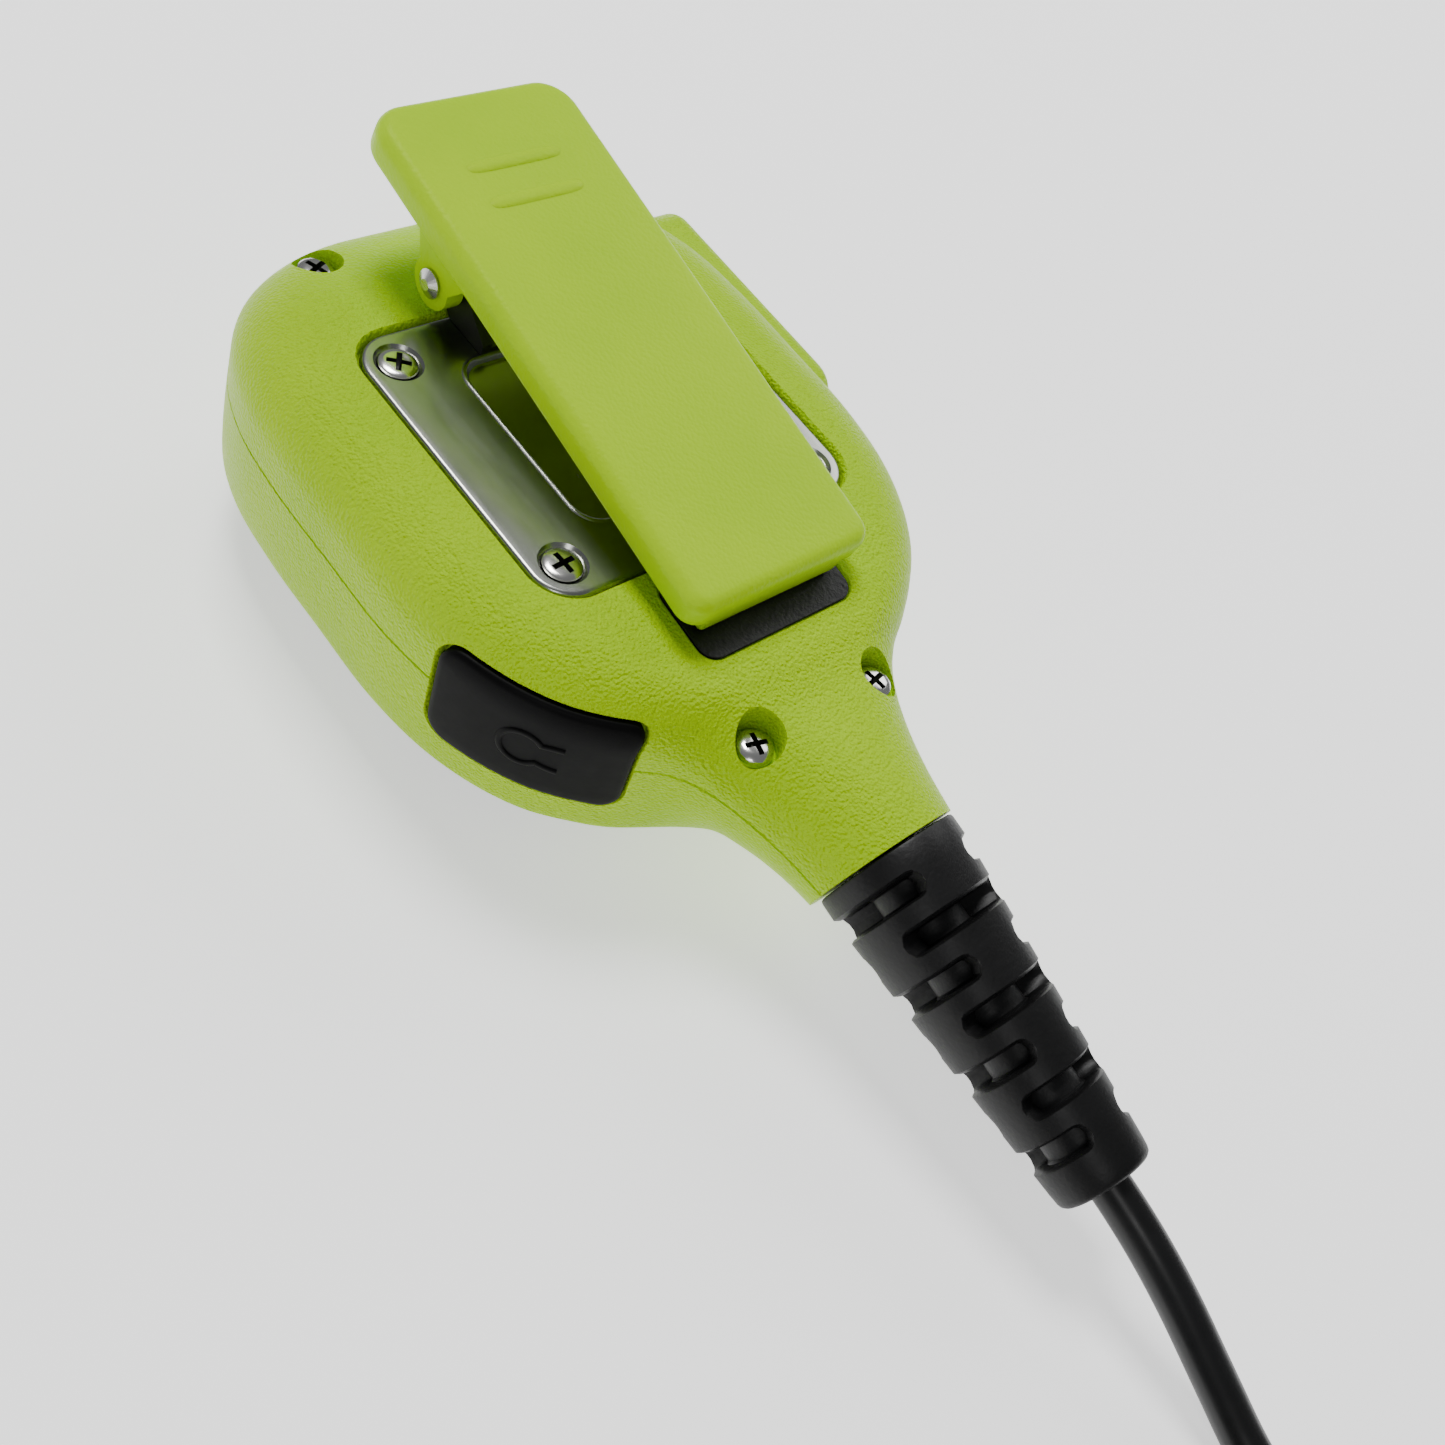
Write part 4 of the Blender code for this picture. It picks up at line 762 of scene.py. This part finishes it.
def jack_cover():
    """Rubber flap with a rounded rim and a raised earphone symbol: an open ring with two tails."""
    layers = [(0.0, -1.6), (0.0, -0.2), (0.06, 0.02), (0.22, 0.2), (0.5, 0.34), (0.9, 0.4)]
    cover = wall_pad("jack_cover_visual", COVER_BOUNDS, 2.8, layers, MATS["rubber"])
    centre_u = COVER_MIDDLE_U + 0.2
    centre_z = -12.0
    arc = []
    for i in range(37):
        angle = math.radians(38 + 284 * i / 36)
        arc.append((centre_u + 2.55 * math.cos(angle), centre_z + 2.55 * math.sin(angle)))
    upper = [(centre_u + 4.5 - 2.5 * i / 8, centre_z + 1.95 - 0.35 * (i / 8) ** 2) for i in range(8)]
    lower = [(centre_u + 4.5 - 2.5 * i / 8, centre_z - 1.95 + 0.35 * (i / 8) ** 2) for i in range(8)]
    path = upper + arc + lower[::-1]
    profile = ((-0.42, 0.36), (-0.36, 0.5), (-0.2, 0.62), (0.2, 0.62), (0.36, 0.5), (0.42, 0.36))
    rings = []
    for i, (u, z) in enumerate(path):
        ahead = Vector(path[min(i + 1, len(path) - 1)]) - Vector(path[max(i - 1, 0)])
        side = Vector((-ahead.y, ahead.x)).normalized()
        rings.append([wall_point(u + side.x * offset, z + side.y * offset, height)
                      for offset, height in profile])
    symbol = loft("symbol", rings, MATS["rubber"], sharp=70.0)
    stub_at = wall_point(COVER_MIDDLE_U, JACK_Z, -1.2)
    out = Vector(wall_point(COVER_MIDDLE_U, JACK_Z, 0.0)) - Vector(stub_at)
    profile = [(1.4, -2.6), (2.0, -2.0), (2.0, 0.3)]
    stub = turned("stub", profile, MATS["rubber"], stub_at, (out.x, out.y, 0.0))
    join(cover, [symbol, stub])
    piece(cover, "cover", ("jack_cover",))


# ---------------------------------------------------------------- plate, screws, clip

def plate_ring(inset, z, side=3):
    x = PLATE_HALF_X - inset
    y = PLATE_HALF_Y - inset
    return ring_at(rounded(-x, x, -y, y, PLATE_CORNER - inset, 14, side), z)


def clip_plate():
    """Steel plate with a rolled edge, a beaded and sunk middle and four countersinks."""
    def emboss(grow, z):
        outline = rounded(-EMBOSS_X - grow, EMBOSS_X + grow, EMBOSS_Y[0] - grow, EMBOSS_Y[1] + grow,
                          EMBOSS_CORNER + grow, 14, 3)
        return ring_at(outline, z)

    edge = 0.62
    rings = [plate_ring(0.15, -1.2), plate_ring(0.0, -1.05), plate_ring(0.0, -edge)]
    for i in range(1, 6):
        angle = math.radians(90 * i / 5)
        rings.append(plate_ring(edge * (1 - math.cos(angle)), -edge + edge * math.sin(angle)))
    rings.append(plate_ring(1.3, 0.0))
    bead = ((1.15, 0.0), (0.95, 0.0), (0.8, 0.1), (0.6, 0.16), (0.4, 0.1), (0.25, -0.06), (0.12, -0.4),
            (0.0, -0.66), (-0.14, -0.72), (-0.4, -0.72))
    rings += [emboss(grow, z) for grow, z in bead]
    plate = loft("clip_plate_visual", rings, MATS["plate"], sharp=50.0)
    for sx in (-1, 1):
        for sy in (-1, 1):
            sink = [(1.5, -3.0), (1.5, -1.1), (2.45, -0.45), (2.55, -0.35), (3.05, 0.12), (3.6, 0.7)]
            place = (sx * PLATE_SCREW_X, sy * PLATE_SCREW_Y, 0.0)
            boolean(plate, turned("sink", sink, origin=place, sides=64), sharp=28.0)
    piece(plate, "unit", ("clip_plate",))


def cross(x, y, top, reach, half, depth, turn):
    """A cross recess with faces painted dark as shade: four arms that narrow with depth."""
    levels = ((reach * 1.08, half * 1.15, top + 0.5), (reach, half, top),
              (reach * 0.85, half * 0.8, top - depth * 0.6), (reach * 0.5, half * 0.6, top - depth))
    rings = []
    for size, width, z in levels:
        outline = []
        for k in range(4):
            angle = turn + math.radians(90 * k)
            for p, q in ((width, -width), (size, -width), (size, width)):
                outline.append((x + p * math.cos(angle) - q * math.sin(angle),
                                y + p * math.sin(angle) + q * math.cos(angle), z))
        rings.append(outline)
    # The cut transfers this near-black material onto the recess faces, as painted shade.
    return loft("cross", rings, MATS["recess"])


def screws():
    """Four countersunk plate screws and four housing screws with domed heads."""
    for i, (sx, sy) in enumerate(((-1, 1), (1, 1), (-1, -1), (1, -1)), 1):
        x = sx * PLATE_SCREW_X
        y = sy * PLATE_SCREW_Y
        profile = [(1.2, -8.0), (1.2, -1.25), (2.3, -0.42), (2.34, -0.3), (2.28, -0.14), (2.1, -0.02),
                   (1.6, 0.08), (0.9, 0.13), (0.3, 0.14)]
        screw = turned(f"plate_screw_visual_{i}", profile, MATS["screw"], (x, y, 0.0), sides=64)
        boolean(screw, cross(x, y, 0.1, 1.45, 0.33, 1.4, math.radians(34 + 20 * i)), sharp=30.0)
        piece(screw, "unit", (f"plate_screw_{i}",))
    for i, (x, y, head) in enumerate(SCREW_PLACES, 1):
        profile = [(1.1, head - 10.6), (1.1, head - 1.7), (2.3, head - 1.7), (2.34, head - 1.0),
                   (2.2, head - 0.5), (1.8, head - 0.15), (1.2, head), (0.3, head + 0.03)]
        screw = turned(f"housing_screw_visual_{i}", profile, MATS["screw"], (x, y, 0.0), sides=56)
        boolean(screw, cross(x, y, head, 1.45, 0.33, 1.3, math.radians(25 * i)), sharp=30.0)
        piece(screw, "unit", (f"housing_screw_{i}",))


def belt_clip():
    """Slab with rounded edges, a lip at its lower end, two ears on the pin and two finger ridges."""
    under = 5.0
    outer = 9.3
    half = 13.9
    bottom = -50.8
    top = 17.4
    ear_r = 3.1

    def slab_ring(inset, n):
        corner_top = 4.6 - inset
        corner_low = 2.6 - min(inset, 1.8)
        outline = []
        corners = ((half - inset - corner_top, top - inset - corner_top, 0, corner_top),
                   (-half + inset + corner_top, top - inset - corner_top, 90, corner_top),
                   (-half + inset + corner_low, bottom + inset + corner_low, 180, corner_low),
                   (half - inset - corner_low, bottom + inset + corner_low, 270, corner_low))
        for cx, cy, start, radius in corners:
            for i in range(13):
                angle = math.radians(start + 90 * i / 12)
                outline.append(clip_point(cx + radius * math.cos(angle), cy + radius * math.sin(angle), n))
        return outline

    rings = []
    for i in range(5):
        angle = math.radians(90 * i / 4)
        rings.append(slab_ring(0.9 * (1 - math.sin(angle)), under + 0.9 * (1 - math.cos(angle))))
    for i in range(9):
        angle = math.radians(90 * i / 8)
        rings.append(slab_ring(1.7 * (1 - math.cos(angle)), outer - 1.7 + 1.7 * math.sin(angle)))
    rings.append(slab_ring(2.6, outer + 0.02))
    clip = loft("belt_clip_visual", rings, MATS["clip"], sharp=40.0)
    parts = []
    lip_rings = []
    for n, inset in ((3.1, 0.35), (3.18, 0.12), (3.4, 0.0), (6.4, 0.0)):
        outline = rounded(-10.7 + inset, 10.7 - inset, bottom + 0.1 + inset, bottom + 2.7 - inset, 0.5, 5)
        lip_rings.append([clip_point(x, v, n) for x, v in outline])
    parts.append(loft("lip", lip_rings))
    for sx in (-1, 1):
        profile = [(5.8, under + 1.0)]
        for i in range(31):
            angle = math.radians(20 - 220 * i / 30)
            profile.append((ear_r * math.cos(angle), ear_r * math.sin(angle)))
        profile.append((-5.8, under + 1.0))
        ear = loft("ear", [[clip_point(sx * x, v, n) for v, n in profile] for x in (10.3, 12.6)])
        pin_bore = [(1.33, -20.0), (1.33, 20.0)]
        boolean(ear, turned("bore", pin_bore, origin=(0, PIN_Y, PIN_Z), axis=(1, 0, 0), sides=40))
        parts.append(ear)
    for v in (1.9, 6.9):
        ridge = []
        for i in range(25):
            t = i / 24
            x = -6.8 + 13.6 * t
            swell = max(1.0 - abs(2 * t - 1) ** 6, 0.0) ** 0.5
            ring = []
            for k in range(13):
                angle = math.pi * k / 12
                ring.append(clip_point(x, v + 0.95 * math.cos(angle) * (0.15 + 0.85 * swell),
                                       outer - 0.05 + 0.34 * math.sin(angle) ** 1.4 * swell))
            ridge.append(ring)
        parts.append(loft("ridge", ridge, sharp=80.0))
    join(clip, parts)
    smooth(clip, 40.0)
    piece(clip, "clip", ("belt_clip",))


# ---------------------------------------------------------------- strain relief

def strain_relief():
    """Tapered sleeve with crossed annular slots down to the core that holds the cord."""
    length = 42.6
    wide = 8.9
    profile = [(4.5, -8.6), (4.5, -6.8), (3.4, -6.8), (3.4, 0.3), (8.55, 0.3), (8.8, 0.42), (wide, 0.75),
               (wide, 3.2)]
    for i in range(1, 30):
        t = i / 30
        profile.append((wide + (5.95 - wide) * t, 3.2 + (length - 4.0) * t))
    profile += [(5.9, length - 0.8), (5.75, length - 0.35), (5.45, length - 0.08), (5.0, length),
                (2.58, length), (2.58, length - 3.4)]
    sleeve = turned("strain_relief_visual", profile, MATS["relief"], tuple(NECK_END), RELIEF_AXIS, sides=96)
    for k in range(7):
        along = 4.7 + 5.3 * k
        outer = wide + (5.7 - wide) * along / length
        centres = (0.0, math.pi) if k % 2 == 0 else (math.pi / 2, -math.pi / 2)
        half_slot = 1.3
        reach = math.radians(66)
        cap = half_slot / (outer - 0.6)
        for centre in centres:
            rings = []
            for i in range(33):
                a = -1 + 2 * i / 32
                angle = a * reach
                past = max(abs(angle) - (reach - cap), 0.0) / cap
                half = half_slot * math.sqrt(max(1.0 - past * past, 0.0025))
                one_side = ((4.0, half * 0.8), (4.3, half), (outer - 0.35, half), (outer - 0.05, half + 0.14),
                            (outer + 0.5, half + 0.5))
                shape = [(radius, -offset) for radius, offset in one_side] + list(one_side[::-1])
                across = math.cos(centre + angle)
                up = math.sin(centre + angle)
                rings.append([relief_point(radius * across, radius * up, along + offset)
                              for radius, offset in shape])
            boolean(sleeve, loft("slot", rings))
    smooth(sleeve, 35.0)
    piece(sleeve, "unit", ("strain_relief",))


# ---------------------------------------------------------------- front panel and button

def front_panel():
    """Hollow black front cover with speaker slots and a microphone port."""
    def outline(x, y0, y1, radius, z):
        return ring_at(rounded(-x, x, y0, y1, radius, 12, 3), z)

    bottom = -BACK_HEIGHT
    rings = [outline(31.4, -33.0, 35.4, 18.0, -24.25), outline(31.4, -33.0, 35.4, 18.0, -25.0),
             outline(30.8, -32.5, 35.1, 17.6, -26.2), outline(29.3, -31.3, 34.1, 16.6, -28.0),
             outline(26.8, -29.4, 32.2, 15.0, -30.2), outline(24.8, -27.9, 30.8, 13.2, -32.1),
             outline(23.4, -26.8, 29.7, 11.9, -33.3), outline(22.5, -26.0, 29.0, 11.0, -33.8),
             outline(21.7, -25.2, 28.2, 10.2, bottom)]
    panel = loft("front_panel_visual", rings, MATS["panel"], sharp=40.0)
    inner = [outline(29.0, -30.6, 33.0, 16.0, -23.0), outline(29.0, -30.6, 33.0, 16.0, -25.8),
             outline(24.4, -27.0, 30.0, 13.0, -29.6), outline(20.4, -23.8, 26.8, 9.5, bottom + 2.0)]
    boolean(panel, loft("hollow", inner))
    slots = []
    for row in range(5):
        y = SPEAKER_Y + (row - 2) * 3.2
        reach = math.sqrt(11.4 ** 2 - (y - SPEAKER_Y) ** 2)
        shape = rounded(-reach, reach, y - 0.8, y + 0.8, 0.79, 8)
        wide = rounded(-reach - 0.25, reach + 0.25, y - 1.05, y + 1.05, 1.0, 8)
        slots.append(loft("slot", [ring_at(wide, bottom - 1.0), ring_at(wide, bottom),
                                   ring_at(shape, bottom + 0.3), ring_at(shape, bottom + 4.0)]))
    slots.append(upright("port", 0, MIC_Y, 0.8, bottom - 1.0, bottom + 4.0, 24))
    boolean(panel, join(slots[0], slots[1:]))
    smooth(panel, 40.0)
    piece(panel, "unit", ("front_panel",))


def ptt_button():
    """Button with a domed face, a retaining flange behind the wall and five ribs."""
    def outline(x, inset):
        shape = rounded(BUTTON_Y[0] + inset, BUTTON_Y[1] - inset, BUTTON_Z[0] + inset, BUTTON_Z[1] - inset,
                        2.9 - inset * 0.9, 10, 6)
        return [(x, y, z) for y, z in shape]

    rings = [outline(29.1, 0.0), outline(38.3, 0.0), outline(38.75, 0.12), outline(39.05, 0.4),
             outline(39.2, 0.8), outline(39.28, 1.6), outline(39.3, 2.6)]
    button = loft("ptt_button_visual", rings, MATS["rubber"], sharp=40.0)
    flange = [[(x, y, z) for y, z in rounded(-1.5, 22.9, -18.3, -7.7, 2.9, 6)] for x in (28.46, 29.5)]
    parts = [loft("flange", flange)]
    for k in range(5):
        y = 10.7 + (k - 2) * 2.6
        rib = []
        for x, inset in ((39.0, 0.0), (39.5, 0.05), (39.62, 0.22)):
            shape = rounded(y - 0.5 + inset, y + 0.5 - inset, -15.4 + inset, -11.0 - inset, 0.45, 6)
            rib.append([(x, across, z) for across, z in shape])
        parts.append(loft("rib", rib))
    join(button, parts)
    smooth(button, 40.0)
    piece(button, "ptt", ("ptt_button",))


housing()
label()
jack_cover()
clip_plate()
screws()
belt_clip()
strain_relief()
front_panel()
ptt_button()

NODE_MATERIALS = {
    "clip_bracket": "bracket", "clip_pin": "pivot", "clip_spring": "bracket",
    "speaker_basket": "inner_steel", "speaker_magnet": "inner_steel", "mic_capsule": "inner_steel",
    "mic_boot": "rubber", "speaker_gasket": "rubber", "jack_socket": "panel", "ptt_switch": "panel",
    "audio_chip": "panel", "dust_screen": "screen", "speaker_cone": "cone", "speaker_wire": "wires",
    "mic_wire": "wires", "pcb": "board", "plug_shell": "plug", "plug_boot": "plug",
    "plug_pin_a": "pins", "plug_pin_b": "pins", "cord_tie": "tie",
}
for node_name, key in NODE_MATERIALS.items():
    mesh = NODES[node_name].data
    mesh.materials.clear()
    mesh.materials.append(MATS[key])


# ---------------------------------------------------------------- floor, world and light

def stage():
    size = 3.0
    level = -0.0002
    corners = [(sx * size, sy * size, level) for sx, sy in ((-1, -1), (1, -1), (1, 1), (-1, 1))]
    mesh = bpy.data.meshes.new("floor")
    mesh.from_pydata(corners, [], [(0, 1, 2, 3)])
    floor = bpy.data.objects.new("floor", mesh)
    bpy.context.scene.collection.objects.link(floor)
    mat, bsdf = new_material("pale_floor", (0.93, 0.93, 0.93), 0.9)
    mottle(mat, bsdf, (0.92, 0.92, 0.92), (0.94, 0.94, 0.94), 3.0)
    bsdf.inputs["Specular IOR Level"].default_value = 0.1
    bsdf.inputs["Emission Color"].default_value = (1.0, 1.0, 1.0, 1.0)
    bsdf.inputs["Emission Strength"].default_value = 0.9
    mesh.materials.append(mat)


def area(name, location, target, size, power):
    data = bpy.data.lights.new(name, "AREA")
    data.shape = "RECTANGLE"
    data.size = size
    data.size_y = size
    data.energy = power
    obj = bpy.data.objects.new(name, data)
    bpy.context.scene.collection.objects.link(obj)
    obj.location = location
    obj.rotation_euler = (Vector(target) - Vector(location)).to_track_quat("-Z", "Y").to_euler()


def world():
    shell = bpy.data.worlds.new("studio")
    shell.use_nodes = True
    background = shell.node_tree.nodes["Background"]
    background.inputs["Color"].default_value = (0.95, 0.97, 1.0, 1.0)
    background.inputs["Strength"].default_value = 0.2
    bpy.context.scene.world = shell


stage()
world()
area("key", (0.05, 0.35, 0.85), (0, -0.02, 0.02), 0.3, 6.5)
area("fill", (-0.55, -0.5, 0.75), (0, -0.02, 0.02), 0.25, 1.2)
area("rim", (0.6, 0.1, 0.5), (0, -0.02, 0.02), 0.4, 1.6)
